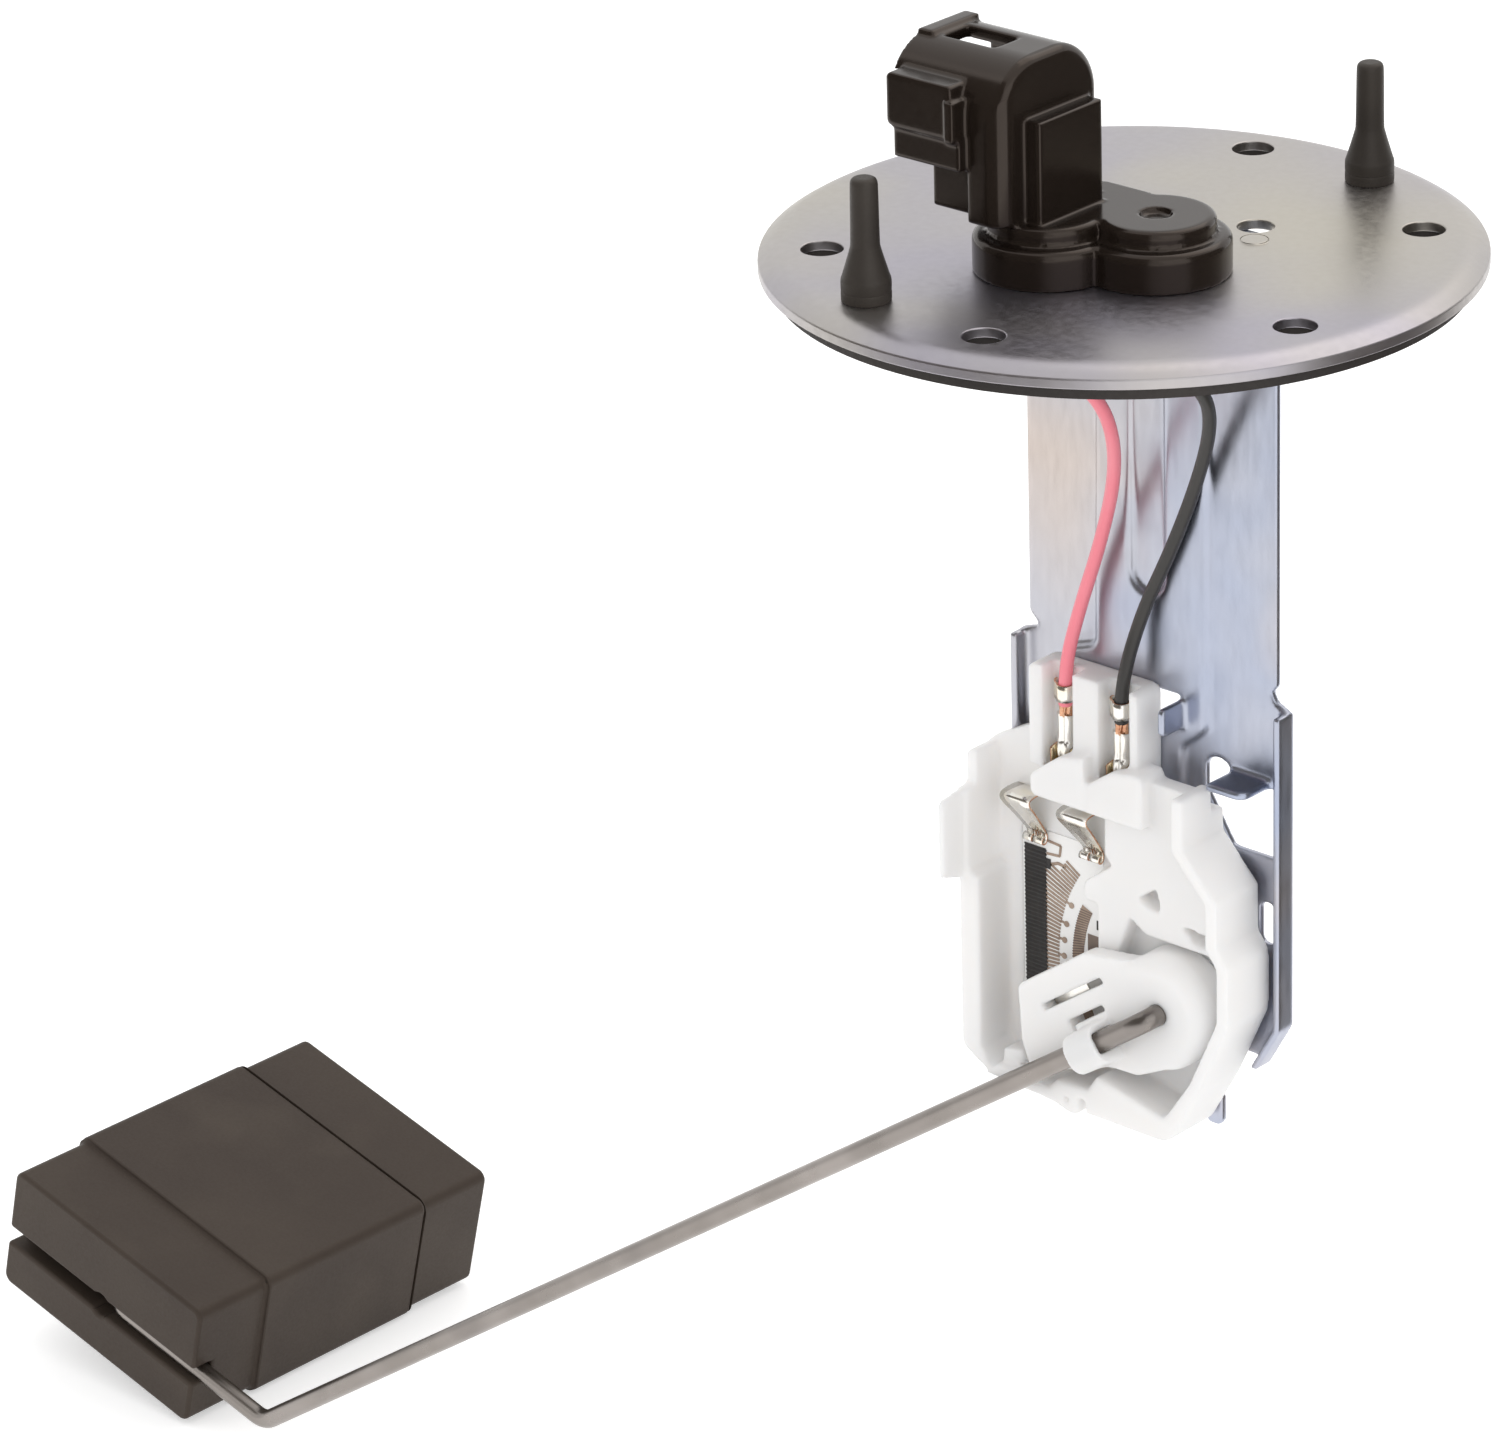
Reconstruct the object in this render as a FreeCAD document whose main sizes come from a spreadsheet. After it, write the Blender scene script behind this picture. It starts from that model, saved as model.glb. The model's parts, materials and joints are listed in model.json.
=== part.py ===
import FreeCAD, Part
import Sketcher

import math
import os
import re

from FreeCAD import Rotation, Vector

# Fuel level sender: a round cover plate with its electrical connector, a pressed
# bracket below it, and a sensor whose rotor carries a wire arm and a float.
# Millimetres, +Z up. The origin is the centre of the cover plate's underside,
# depths below it are positive, and -Y is the side the sensor faces.

doc = FreeCAD.newDocument("fuel_level_sender")
sheet = doc.addObject("Spreadsheet::Sheet", "Sizes")

# Driving sizes
SIZES = {
    # Cover plate
    "plate_radius": 45.0,
    "plate_sheet": 1.3,
    "plate_rim_width": 2.0,
    "plate_rim_drop": 1.27,
    "plate_rim_bend": 5.0,
    "bolt_margin": 8.0,
    "bolt_hole_radius": 2.67,
    "bolt_count": 6,
    "bolt_start_angle": 42.7,
    "stud_angle": 72.7,
    "locating_hole_radius": 2.35,
    "locating_hole_x": 10.1,
    "locating_hole_y": 13.5,
    "mark_x": 13.1,
    "mark_y": 9.4,
    "mark_radius": 1.75,
    # Gasket
    "gasket_inset": 1.6,
    "gasket_margin": 6.0,
    "gasket_thickness": 3.0,
    "gasket_hole_radius": 4.2,
    # Mounting studs and their rubber caps
    "stud_radius": 1.25,
    "stud_length": 13.0,
    "stud_head_radius": 3.4,
    "stud_head_height": 1.5,
    "cap_base_radius": 3.1,
    "cap_base_height": 2.75,
    "cap_cone_height": 7.0,
    "cap_shaft_radius": 1.8,
    "cap_height": 15.6,
    "fit_clearance": 0.05,
    # Connector
    "tower_left_x": -0.9,
    "tower_left_y": -13.2,
    "tower_right_x": 10.2,
    "tower_right_y": -6.1,
    "tower_radius": 9.3,
    "tower_height": 5.0,
    "tower_top_radius": 7.4,
    "tower_top_height": 7.35,
    "shroud_length": 17.6,
    "shroud_middle": -13.6,
    "shroud_width": 18.6,
    "shroud_bottom": 14.2,
    "shroud_top": 27.8,
    "shroud_corner": 7.0,
    "shroud_wall": 1.6,
    "cavity_corner": 3.0,
    "shroud_depth": 14.6,
    "visor_root": 16.0,
    "blade_height": 20.75,
    "column_depth": 5.5,
    "blade_width": 2.8,
    "blade_thickness": 0.8,
    "blade_spacing": 7.6,
    "blade_reach": 7.4,
    "blade_seat": 1.8,
    "post_radius": 1.1,
    "post_drop": 4.5,
    "post_rise": 5.0,
    "grommet_radius": 4.2,
    "grommet_height": 3.2,
    # Bracket
    "bracket_sheet": 1.2,
    "bracket_front": 4.5,
    "bracket_middle": 0.3,
    "bracket_width": 40.2,
    "panel_front": 3.7,
    "panel_left": -7.6,
    "panel_right": 9.5,
    "groove_middle": 0.33,
    "groove_width": 5.65,
    "groove_drop": 47.3,
    "foot_length": 10.5,
    "bracket_notch_drop": 55.0,
    "flange_reach": 3.3,
    "flange_sheet": 1.1,
    "left_flange_x": -21.4,
    "left_flange_drop": 72.2,
    "right_flange_x": 22.4,
    "right_flange_drop": 101.7,
    "bracket_drop": 119.3,
    "ledge_drop": 68.1,
    "ledge_reach": 5.5,
    # Sensor body
    "sensor_back": 3.7,
    "sensor_floor": 2.5,
    "sensor_rim": -5.3,
    "sensor_left": -24.2,
    "sensor_top_drop": 58.8,
    "sensor_bottom_drop": 118.3,
    "sensor_wall": 1.8,
    "left_wall_thickness": 3.3,
    "channel_front": -1.5,
    "channel_width": 5.0,
    "channel_left": -10.3,
    "channel_pitch": 9.2,
    "channel_left_edge": -15.1,
    "channel_right_edge": 2.75,
    "channel_foot_drop": 72.9,
    "nose_front": -4.0,
    "stop_tab_reach": 9.7,
    "stop_tab_thickness": 0.9,
    "stop_tab_bottom": 90.3,
    # Resistor card
    "card_left": -18.8,
    "card_right": -5.35,
    "card_top_drop": 83.6,
    "card_bottom_drop": 111.7,
    "card_front": 1.5,
    "card_thickness": 0.7,
    "track_height": 0.12,
    "track_inner_radius": 17.5,
    "track_band": 1.8,
    "track_top_angle": 24.4,
    "comb_inner_radius": 21.6,
    "comb_band": 2.5,
    "comb_top_angle": 33.6,
    "comb_tooth": 0.3,
    "comb_pitch": 0.57,
    "comb_count": 15,
    "resistor_width": 3.5,
    # Rotor, arm and float
    "pivot_x": 8.7,
    "pivot_drop": 100.4,
    "arm_rest_angle": 35.0,
    "rotor_front": -5.0,
    "rotor_sheet": 2.8,
    "drum_radius": 7.6,
    "wing_top": 11.1,
    "wing_bottom": 4.3,
    "wing_reach": 20.8,
    "clip_near": 8.4,
    "clip_far": 14.0,
    "running_gap": 0.3,
    "arm_radius": 1.4,
    "arm_plane": -7.5,
    "arm_length": 207.1,
    "arm_tail": 34.8,
    "arm_bend": 4.0,
    "pin_bend": 2.6,
    "pin_clearance": 0.06,
    "float_tilt": 14.3,
    "float_turn": 1.8,
    "float_length": 59.7,
    "float_width": 43.2,
    "float_height": 22.2,
    "float_front": -2.45,
    "float_end_length": 13.5,
    "float_end_step": 0.5,
    "float_corner": 1.6,
    "float_hole_below": 1.7,
    "float_hole_length": 50.0,
    "float_keyhole_radius": 1.93,
    # Leads and contacts
    "lead_radius": 0.88,
    "lead_straight": 6.2,
    "terminal_y": 0.25,
    "terminal_top_drop": 61.7,
    "terminal_length": 11.8,
    "crimp_width": 3.5,
    "shank_width": 2.6,
    "clip_width": 5.0,
    "clip_sheet": 0.35,
    "clip_left": -17.3,
    "clip_pitch": 9.25,
}
for row, (alias, number) in enumerate(SIZES.items(), start=1):
    sheet.set(f"A{row}", alias)
    sheet.set(f"B{row}", str(number))
    sheet.setAlias(f"B{row}", alias)
doc.recompute()


def size(text):
    """Turns the plain names of sizes in a formula into cells of the sheet."""
    words = r"(?<![\w.])(?!(?:sin|cos|tan|deg)\b)[a-z][a-z_]+\b"
    return re.sub(words, r"Sizes.\g<0>", str(text))


def value(text):
    """The number that a formula of sizes gives now."""
    return float(sheet.evalExpression(size(text)))


# Drawing helpers
def new_body(label):
    body = doc.addObject("PartDesign::Body", label)
    body.Label = label
    return body


def new_sketch(body, plane, offset):
    """A sketch parallel to one of the body's origin planes, at a bound distance."""
    sketch = body.newObject("Sketcher::SketchObject", "Sketch")
    support = next(f for f in body.Origin.OriginFeatures if f.Role == plane)
    sketch.AttachmentSupport = [(support, "")]
    sketch.MapMode = "FlatFace"
    sketch.setExpression("AttachmentOffset.Base.z", size(offset))
    return sketch


def bind(sketch, kind, *where, to):
    """A dimension of the sketch that follows a formula of the sheet."""
    number = sketch.addConstraint(Sketcher.Constraint(kind, *where, value(to)))
    sketch.setExpression(f"Constraints[{number}]", size(to))


def draw_circle(sketch, x, y, radius):
    centre = Vector(value(x), value(y), 0)
    circle = sketch.addGeometry(Part.Circle(centre, Vector(0, 0, 1), value(radius)))
    bind(sketch, "DistanceX", -1, 1, circle, 3, to=x)
    bind(sketch, "DistanceY", -1, 1, circle, 3, to=y)
    bind(sketch, "Radius", circle, to=radius)


def draw_outline(sketch, corners):
    """A closed outline through corners (x, y) or rounded corners (x, y, radius)."""
    points = [Vector(value(c[0]), value(c[1]), 0) for c in corners]
    ends = []
    for i, corner in enumerate(corners):
        here, before, after = points[i], points[i - 1], points[(i + 1) % len(points)]
        if len(corner) == 2:
            ends.append((here, here))
            continue
        way_in = (before - here).normalize()
        way_out = (after - here).normalize()
        half = way_in.getAngle(way_out) / 2
        reach = value(corner[2]) / math.tan(half)
        ends.append((here + way_in * reach, here + way_out * reach))
    lines = []
    for i in range(len(corners)):
        start, stop = ends[i][1], ends[(i + 1) % len(corners)][0]
        lines.append(sketch.addGeometry(Part.LineSegment(start, stop)))
    for i, corner in enumerate(corners):
        line_in, line_out = lines[i - 1], lines[i]
        if len(corner) == 2:
            sketch.addConstraint(Sketcher.Constraint("Coincident", line_in, 2, line_out, 1))
            bind(sketch, "DistanceX", -1, 1, line_out, 1, to=corner[0])
            bind(sketch, "DistanceY", -1, 1, line_out, 1, to=corner[1])
            continue
        first, last = ends[i]
        way_in = (first - points[i]).normalize()
        way_out = (last - points[i]).normalize()
        half = way_in.getAngle(way_out) / 2
        radius = value(corner[2])
        centre = points[i] + (way_in + way_out).normalize() * (radius / math.sin(half))
        angles = [math.atan2(end.y - centre.y, end.x - centre.x) for end in (first, last)]
        left_turn = (angles[1] - angles[0]) % (2 * math.pi) < math.pi
        if not left_turn:
            angles.reverse()
        circle = Part.Circle(centre, Vector(0, 0, 1), radius)
        curve = sketch.addGeometry(Part.ArcOfCircle(circle, angles[0], angles[1]))
        start, stop = (1, 2) if left_turn else (2, 1)
        sketch.addConstraint(Sketcher.Constraint("Tangent", line_in, 2, curve, start))
        sketch.addConstraint(Sketcher.Constraint("Tangent", line_out, 1, curve, stop))
        bind(sketch, "Radius", curve, to=corner[2])
        mark = sketch.addGeometry(Part.Point(points[i]), True)
        sketch.addConstraint(Sketcher.Constraint("PointOnObject", mark, 1, line_in))
        sketch.addConstraint(Sketcher.Constraint("PointOnObject", mark, 1, line_out))
        bind(sketch, "DistanceX", -1, 1, mark, 1, to=corner[0])
        bind(sketch, "DistanceY", -1, 1, mark, 1, to=corner[1])


def draw(sketch, outlines):
    for outline in outlines:
        if isinstance(outline, tuple):
            draw_circle(sketch, *outline)
        else:
            draw_outline(sketch, outline)


def add(body, plane, low, high, *outlines):
    """Material between two levels across a plane, inside the outlines."""
    start = f"-({high})" if plane == "XZ_Plane" else low
    sketch = new_sketch(body, plane, start)
    draw(sketch, outlines)
    pad = body.newObject("PartDesign::Pad", "Pad")
    pad.Profile = sketch
    pad.setExpression("Length", size(f"({high}) - ({low})"))
    return pad


def cut(body, plane, low, high, *outlines):
    """An opening between two levels across a plane, inside the outlines."""
    start = f"-({low})" if plane == "XZ_Plane" else high
    sketch = new_sketch(body, plane, start)
    draw(sketch, outlines)
    pocket = body.newObject("PartDesign::Pocket", "Pocket")
    pocket.Profile = sketch
    pocket.setExpression("Length", size(f"({high}) - ({low})"))
    return pocket


def turn(body, corners):
    """A solid of revolution about the body's Z axis from a half profile."""
    sketch = new_sketch(body, "XZ_Plane", "0")
    draw(sketch, [corners])
    solid = body.newObject("PartDesign::Revolution", "Revolution")
    solid.Profile = sketch
    solid.ReferenceAxis = (sketch, ["V_Axis"])
    solid.Angle = 360
    return solid


def ring_of(body, feature, count):
    """Repeats a feature evenly round the body's Z axis."""
    pattern = body.newObject("PartDesign::PolarPattern", "PolarPattern")
    pattern.Originals = [feature]
    axis = next(f for f in body.Origin.OriginFeatures if f.Role == "Z_Axis")
    pattern.Axis = (axis, [""])
    pattern.Angle = 360
    pattern.setExpression("Occurrences", size(count))
    body.Tip = pattern
    return pattern


def box(low_x, high_x, low_y, high_y, *radius):
    """The four corners of a rectangle, rounded where a radius is given."""
    spots = [(low_x, low_y), (high_x, low_y), (high_x, high_y), (low_x, high_y)]
    return [spot + radius for spot in spots]


def place(body, x="0", y="0", z="0", tilt="0", yaw="0"):
    """Stands the body at a bound place, tilted about Y and then turned about Z."""
    spot = "; ".join(size(text) for text in (x, y, z))
    turn_by = f"rotation({size(yaw)}; {size(tilt)}; 0)"
    body.setExpression("Placement", f"placement(vector({spot}); {turn_by})")


def route(points, bends=None):
    """Straight runs joined by tangent arcs, and the smallest radius of its bends."""
    runs = [points[i + 1] - points[i] for i in range(len(points) - 1)]
    edges = []
    radii = []
    last = points[0]
    for i in range(1, len(points) - 1):
        way_in = Vector(runs[i - 1]).normalize()
        way_out = Vector(runs[i]).normalize()
        half_turn = way_in.getAngle(way_out) / 2
        if bends:
            radius = bends[i - 1]
        else:
            radius = 0.45 * min(runs[i - 1].Length, runs[i].Length) / math.tan(half_turn)
        radii.append(radius)
        reach = radius * math.tan(half_turn)
        first = points[i] - way_in * reach
        after = points[i] + way_out * reach
        inward = (way_out - way_in).normalize()
        middle = points[i] + inward * (radius / math.cos(half_turn) - radius)
        edges.append(Part.LineSegment(last, first).toShape())
        edges.append(Part.Arc(first, middle, after).toShape())
        last = after
    edges.append(Part.LineSegment(last, points[-1]).toShape())
    return Part.Wire(edges), min(radii)


def wire_solid(label, points, radius, bends=None, sides=0):
    """A wire of one thickness along a route, round or with a number of sides."""
    path_shape, tightest = route(points, bends)
    path = doc.addObject("Part::Feature", label + "_path")
    path.Shape = path_shape
    section = doc.addObject("Part::RegularPolygon" if sides else "Part::Circle", label + "_section")
    section.setExpression("Circumradius" if sides else "Radius", size(radius))
    if sides:
        section.Polygon = sides
    start = points[0]
    heading = (points[1] - points[0]).normalize()
    section.Placement = FreeCAD.Placement(start, Rotation(Vector(0, 0, 1), heading))
    sweep = doc.addObject("Part::Sweep", label)
    sweep.Label = label
    sweep.Sections = [section]
    sweep.Spine = (path, [f"Edge{n + 1}" for n in range(len(path_shape.Edges))])
    sweep.Solid = True
    sweep.Frenet = False
    print(f"{label}: tightest bend {tightest:.2f} mm, length {path_shape.Length:.1f} mm")
    return sweep


nodes = []

# Cover plate with its rolled rim
plate = new_body("cover_plate")
flat_radius = "plate_radius - plate_rim_width"
bolt_circle = "(plate_radius - bolt_margin)"
turn(plate, [
    ("0", "0"),
    (f"{flat_radius} - plate_sheet", "0"),
    ("plate_radius", "-plate_rim_drop"),
    ("plate_radius", "plate_sheet - plate_rim_drop"),
    (flat_radius, "plate_sheet", "plate_rim_bend"),
    ("0", "plate_sheet"),
])
bolt_x = f"{bolt_circle} * cos(bolt_start_angle * 1deg)"
bolt_y = f"{bolt_circle} * sin(bolt_start_angle * 1deg)"
bolt_hole = cut(plate, "XY_Plane", "0", "plate_sheet", (bolt_x, bolt_y, "bolt_hole_radius"))
ring_of(plate, bolt_hole, "bolt_count")
stud_x = f"{bolt_circle} * cos(stud_angle * 1deg)"
stud_y = f"{bolt_circle} * sin(stud_angle * 1deg)"
cut(plate, "XY_Plane", "0", "plate_sheet",
    (stud_x, stud_y, "stud_radius + fit_clearance"),
    (f"-({stud_x})", f"-({stud_y})", "stud_radius + fit_clearance"),
    ("locating_hole_x", "locating_hole_y", "locating_hole_radius"),
    ("tower_left_x", "tower_left_y", "post_radius + 1"),
    ("tower_right_x", "tower_right_y", "post_radius + 1"))
add(plate, "XY_Plane", "plate_sheet", "plate_sheet + 0.15", ("mark_x", "mark_y", "mark_radius"))
nodes.append(plate)

# Gasket under the rim, chamfered to clear the bend
gasket = new_body("gasket")
gasket_outer = "plate_radius - gasket_inset"
gasket_inner = f"{bolt_circle} - gasket_margin"
turn(gasket, [
    (gasket_inner, "-gasket_thickness"),
    (gasket_outer, "-gasket_thickness"),
    (gasket_outer, "-plate_rim_drop"),
    (f"{flat_radius} - plate_sheet - 0.2", "0"),
    (gasket_inner, "0"),
])
gasket_hole = cut(gasket, "XY_Plane", "-gasket_thickness", "0", (bolt_x, bolt_y, "bolt_hole_radius"))
ring_of(gasket, gasket_hole, "bolt_count")
cut(gasket, "XY_Plane", "-gasket_thickness", "0",
    (stud_x, stud_y, "gasket_hole_radius"),
    (f"-({stud_x})", f"-({stud_y})", "gasket_hole_radius"))
nodes.append(gasket)

# Mounting studs with rubber caps
for side, sign in (("left", "-"), ("right", "")):
    stud = new_body(f"stud_{side}")
    turn(stud, [
        ("0", "-stud_head_height"),
        ("stud_head_radius", "-stud_head_height"),
        ("stud_head_radius", "0"),
        ("stud_radius", "0"),
        ("stud_radius", "stud_length"),
        ("0", "stud_length"),
    ])
    place(stud, f"{sign}({stud_x})", f"{sign}({stud_y})")
    nodes.append(stud)
    cap = new_body(f"stud_cap_{side}")
    turn(cap, [
        ("stud_radius + fit_clearance", "plate_sheet"),
        ("cap_base_radius", "plate_sheet"),
        ("cap_base_radius", "plate_sheet + cap_base_height"),
        ("cap_shaft_radius", "plate_sheet + cap_cone_height"),
        ("cap_shaft_radius", "plate_sheet + cap_height - cap_shaft_radius * 0.4"),
        ("cap_shaft_radius * 0.6", "plate_sheet + cap_height"),
        ("0", "plate_sheet + cap_height"),
        ("0", "stud_length + fit_clearance"),
        ("stud_radius + fit_clearance", "stud_length + fit_clearance"),
    ])
    place(cap, f"{sign}({stud_x})", f"{sign}({stud_y})")
    nodes.append(cap)

# Connector housing: two round towers, the column and the shroud
housing = new_body("connector_housing")
towers = (("tower_left_x", "tower_left_y"), ("tower_right_x", "tower_right_y"))
for x, y in towers:
    add(housing, "XY_Plane", "plate_sheet", "plate_sheet + tower_height", (x, y, "tower_radius"))
for x, y in towers:
    add(housing, "XY_Plane", "plate_sheet + tower_height", "plate_sheet + tower_top_height",
        (x, y, "tower_top_radius"))
add(housing, "XY_Plane", "plate_sheet", "plate_sheet + tower_top_height", [
    ("tower_left_x - 2.1", "tower_left_y"),
    ("tower_right_x", "tower_right_y - 5"),
    ("tower_right_x - 0.4", "tower_right_y + 5.4", "1.5"),
    ("tower_left_x - 2.1", "tower_right_y + 5.4", "1.5"),
])
shroud_low_y = "shroud_middle - shroud_width / 2"
shroud_high_y = "shroud_middle + shroud_width / 2"
add(housing, "YZ_Plane", "-shroud_length", "0", [
    (shroud_low_y, "plate_sheet + shroud_bottom", "1"),
    (shroud_high_y, "plate_sheet + shroud_bottom", "1"),
    (shroud_high_y, "plate_sheet + shroud_top", "shroud_corner"),
    (shroud_low_y, "plate_sheet + shroud_top", "shroud_corner"),
])
add(housing, "XY_Plane", "plate_sheet + tower_top_height", "plate_sheet + shroud_bottom + 2", [
    ("-column_depth", shroud_low_y),
    ("0", shroud_low_y),
    ("0", shroud_high_y),
    ("-column_depth", shroud_high_y),
])
add(housing, "XY_Plane", "plate_sheet + tower_top_height", "plate_sheet + shroud_bottom + 1",
    box("-13.1", "-column_depth", "shroud_middle - 6.7", "shroud_middle + 6.6"))
add(housing, "YZ_Plane", "0", "2.4",
    box("shroud_middle - 4.9", "shroud_middle + 7.1", "plate_sheet + tower_top_height - 0.1",
        "plate_sheet + 20.4"))
add(housing, "YZ_Plane", "-shroud_length", "-shroud_length + 2.3",
    box("shroud_middle - 3.9", "shroud_middle + 5.2", "plate_sheet + shroud_top - 1.7",
        "plate_sheet + shroud_top + 0.5"))
cut(housing, "YZ_Plane", "-shroud_length - 0.1", "-visor_root", box(
    f"{shroud_low_y} - 0.1", f"{shroud_high_y} + 0.1", "plate_sheet + shroud_bottom - 0.1",
    "plate_sheet + shroud_top - 3.5"))
add(housing, "XZ_Plane", f"{shroud_low_y} - 1.9", f"{shroud_low_y} + 2.6",
    box("-visor_root - 0.5", "-6.3", "plate_sheet + 18.2", "plate_sheet + 24.9", "0.6"))
add(housing, "XZ_Plane", f"{shroud_low_y} - 2.5", f"{shroud_low_y} + 1",
    box("-7", "-5.5", "plate_sheet + 17.9", "plate_sheet + 23.1"))
add(housing, "XZ_Plane", f"{shroud_low_y} - 1.5", f"{shroud_low_y} + 1.1",
    box("-visor_root + 0.3", "-column_depth + 0.2", "plate_sheet + shroud_bottom", "plate_sheet + 18.4"))
add(housing, "XY_Plane", "plate_sheet", "plate_sheet + 3", ("4.6", "0.2", "1.3"))
cut(housing, "XY_Plane", "plate_sheet + tower_top_height", "plate_sheet + shroud_top", [
    ("0.1", f"{shroud_low_y} - 0.1"),
    ("0.1", f"{shroud_low_y} + 2.6"),
    ("0", f"{shroud_low_y} + 2.6"),
    ("0", shroud_low_y, "2.5"),
    ("-2.6", shroud_low_y),
    ("-2.6", f"{shroud_low_y} - 0.1"),
])
cut(housing, "XY_Plane", "plate_sheet + tower_top_height - 0.7", "plate_sheet + tower_top_height",
    ("tower_right_x", "tower_right_y", "2"))
cut(housing, "YZ_Plane", "-shroud_length - 1", "-shroud_length + shroud_depth", [
    (f"{shroud_low_y} + shroud_wall", "plate_sheet + shroud_bottom + shroud_wall", "1"),
    (f"{shroud_high_y} - shroud_wall", "plate_sheet + shroud_bottom + shroud_wall", "1"),
    (f"{shroud_high_y} - shroud_wall", "plate_sheet + shroud_top - shroud_wall",
     "cavity_corner"),
    (f"{shroud_low_y} + shroud_wall", "plate_sheet + shroud_top - shroud_wall",
     "cavity_corner"),
])
cut(housing, "XY_Plane", "plate_sheet + shroud_top - shroud_wall - 0.1", "plate_sheet + shroud_top + 0.1",
    box("-shroud_length + 3.2", "-shroud_length + 11.3", "shroud_middle - 2.7", "shroud_middle + 1.9"))
for x, y in towers:
    cut(housing, "XY_Plane", "plate_sheet", "plate_sheet + post_rise + fit_clearance",
        (x, y, "post_radius + fit_clearance"))
blade_level = "plate_sheet + blade_height"
blade_root = "-shroud_length + shroud_depth"
for sign in ("-", "+"):
    blade_y = f"shroud_middle {sign} blade_spacing / 2"
    cut(housing, "YZ_Plane", blade_root, f"{blade_root} + blade_seat + fit_clearance",
        box(f"{blade_y} - blade_width / 2 - fit_clearance", f"{blade_y} + blade_width / 2 + fit_clearance",
            f"{blade_level} - blade_thickness / 2 - fit_clearance",
            f"{blade_level} + blade_thickness / 2 + fit_clearance"))
nodes.append(housing)

# Blades in the shroud and posts through the cover plate
for side, sign in (("left", "-"), ("right", "+")):
    blade_y = f"shroud_middle {sign} blade_spacing / 2"
    blade = new_body(f"connector_blade_{side}")
    add(blade, "YZ_Plane", f"{blade_root} - blade_reach", f"{blade_root} + blade_seat",
        box(f"{blade_y} - blade_width / 2", f"{blade_y} + blade_width / 2",
            f"{blade_level} - blade_thickness / 2", f"{blade_level} + blade_thickness / 2"))
    nodes.append(blade)
for side, (x, y) in zip(("left", "right"), towers):
    post = new_body(f"terminal_post_{side}")
    add(post, "XY_Plane", "-post_drop", "plate_sheet + post_rise", (x, y, "post_radius"))
    nodes.append(post)
    grommet = new_body(f"lead_grommet_{side}")
    add(grommet, "XY_Plane", "-grommet_height", "0",
        (x, y, "grommet_radius"), (x, y, "post_radius + fit_clearance"))
    nodes.append(grommet)

# Pressed bracket: base sheet, raised panel with a sunk groove, bent flanges and tabs
bracket = new_body("bracket")
bracket_back = "bracket_front + bracket_sheet"
left_edge = "bracket_middle - bracket_width / 2"
right_edge = "bracket_middle + bracket_width / 2"
add(bracket, "XZ_Plane", "bracket_front", bracket_back, [
    (left_edge, "0"),
    (right_edge, "0"),
    (right_edge, "-bracket_notch_drop"),
    (f"{right_edge} - 0.9", "-bracket_notch_drop - 1"),
    (f"{right_edge} - 0.2", "-bracket_notch_drop - 2.2"),
    ("right_flange_x", "-bracket_notch_drop - 3.2"),
    ("right_flange_x", "-right_flange_drop"),
    ("right_flange_x - 3.6", "-right_flange_drop - 6.3"),
    ("right_flange_x - 4.7", "-right_flange_drop - 5.5"),
    ("14.5", "-right_flange_drop - 5.5"),
    ("10.9", "-bracket_drop + 6"),
    ("11.6", "-bracket_drop + 4.1"),
    ("11.6", "-bracket_drop", "1"),
    ("8.8", "-bracket_drop", "1"),
    ("8.8", "-bracket_drop + 4.1"),
    ("-6", "-bracket_drop + 8"),
    ("-16", "-bracket_drop + 20", "4"),
    ("-16", "-left_flange_drop - 4"),
    ("left_flange_x", "-left_flange_drop"),
    ("left_flange_x", "-bracket_notch_drop - 2.7"),
    (f"{left_edge} + 1.7", "-bracket_notch_drop - 1.6"),
    (left_edge, "-bracket_notch_drop"),
])
panel = [
    ("panel_left", "-2"),
    ("panel_right", "-2"),
    ("panel_right", "-63.6", "1.5"),
    ("panel_right - 3.8", "-66.8", "1.5"),
    ("panel_right - 3.8", "-73"),
    ("2.2", "-73"),
    ("2.2", "-bracket_drop + 14"),
    ("-13", "-bracket_drop + 22"),
    ("-13.5", "-58.3", "1"),
    ("panel_left - 0.6", "-56.5", "1.5"),
]
add(bracket, "XZ_Plane", "panel_front", "bracket_front + 0.01", panel)
cut(bracket, "XZ_Plane", "panel_front + bracket_sheet", f"{bracket_back}", [
    ("panel_left + 0.8", "-2.8"),
    ("panel_right - 0.8", "-2.8"),
    ("panel_right - 0.8", "-63.2", "1.5"),
    ("panel_right - 4.6", "-66.4", "1.5"),
    ("panel_right - 4.6", "-72.2"),
    ("1.4", "-72.2"),
    ("1.4", "-bracket_drop + 14.8"),
    ("-12.2", "-bracket_drop + 22.6"),
    ("-12.7", "-59"),
    ("panel_left + 0.2", "-57.2", "1.5"),
])
groove_left = "groove_middle - groove_width / 2"
groove_right = "groove_middle + groove_width / 2"
groove_top = "-1.99"
add(bracket, "XZ_Plane", "panel_front + bracket_sheet - 0.1", bracket_back, [
    (f"{groove_left} - 0.8", groove_top),
    (f"{groove_right} + 0.8", groove_top),
    (f"{groove_right} + 0.8", "-groove_drop - 0.8", "groove_width / 2"),
    (f"{groove_left} - 0.8", "-groove_drop - 0.8", "groove_width / 2"),
])
cut(bracket, "XZ_Plane", "panel_front", "bracket_front", [
    (groove_left, groove_top),
    (groove_right, groove_top),
    (groove_right, "-groove_drop", "groove_width / 2 - 0.1"),
    (groove_left, "-groove_drop", "groove_width / 2 - 0.1"),
])
add(bracket, "XY_Plane", "-bracket_sheet", "0", box(
    left_edge, right_edge, "bracket_front", "bracket_front + foot_length"))
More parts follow.
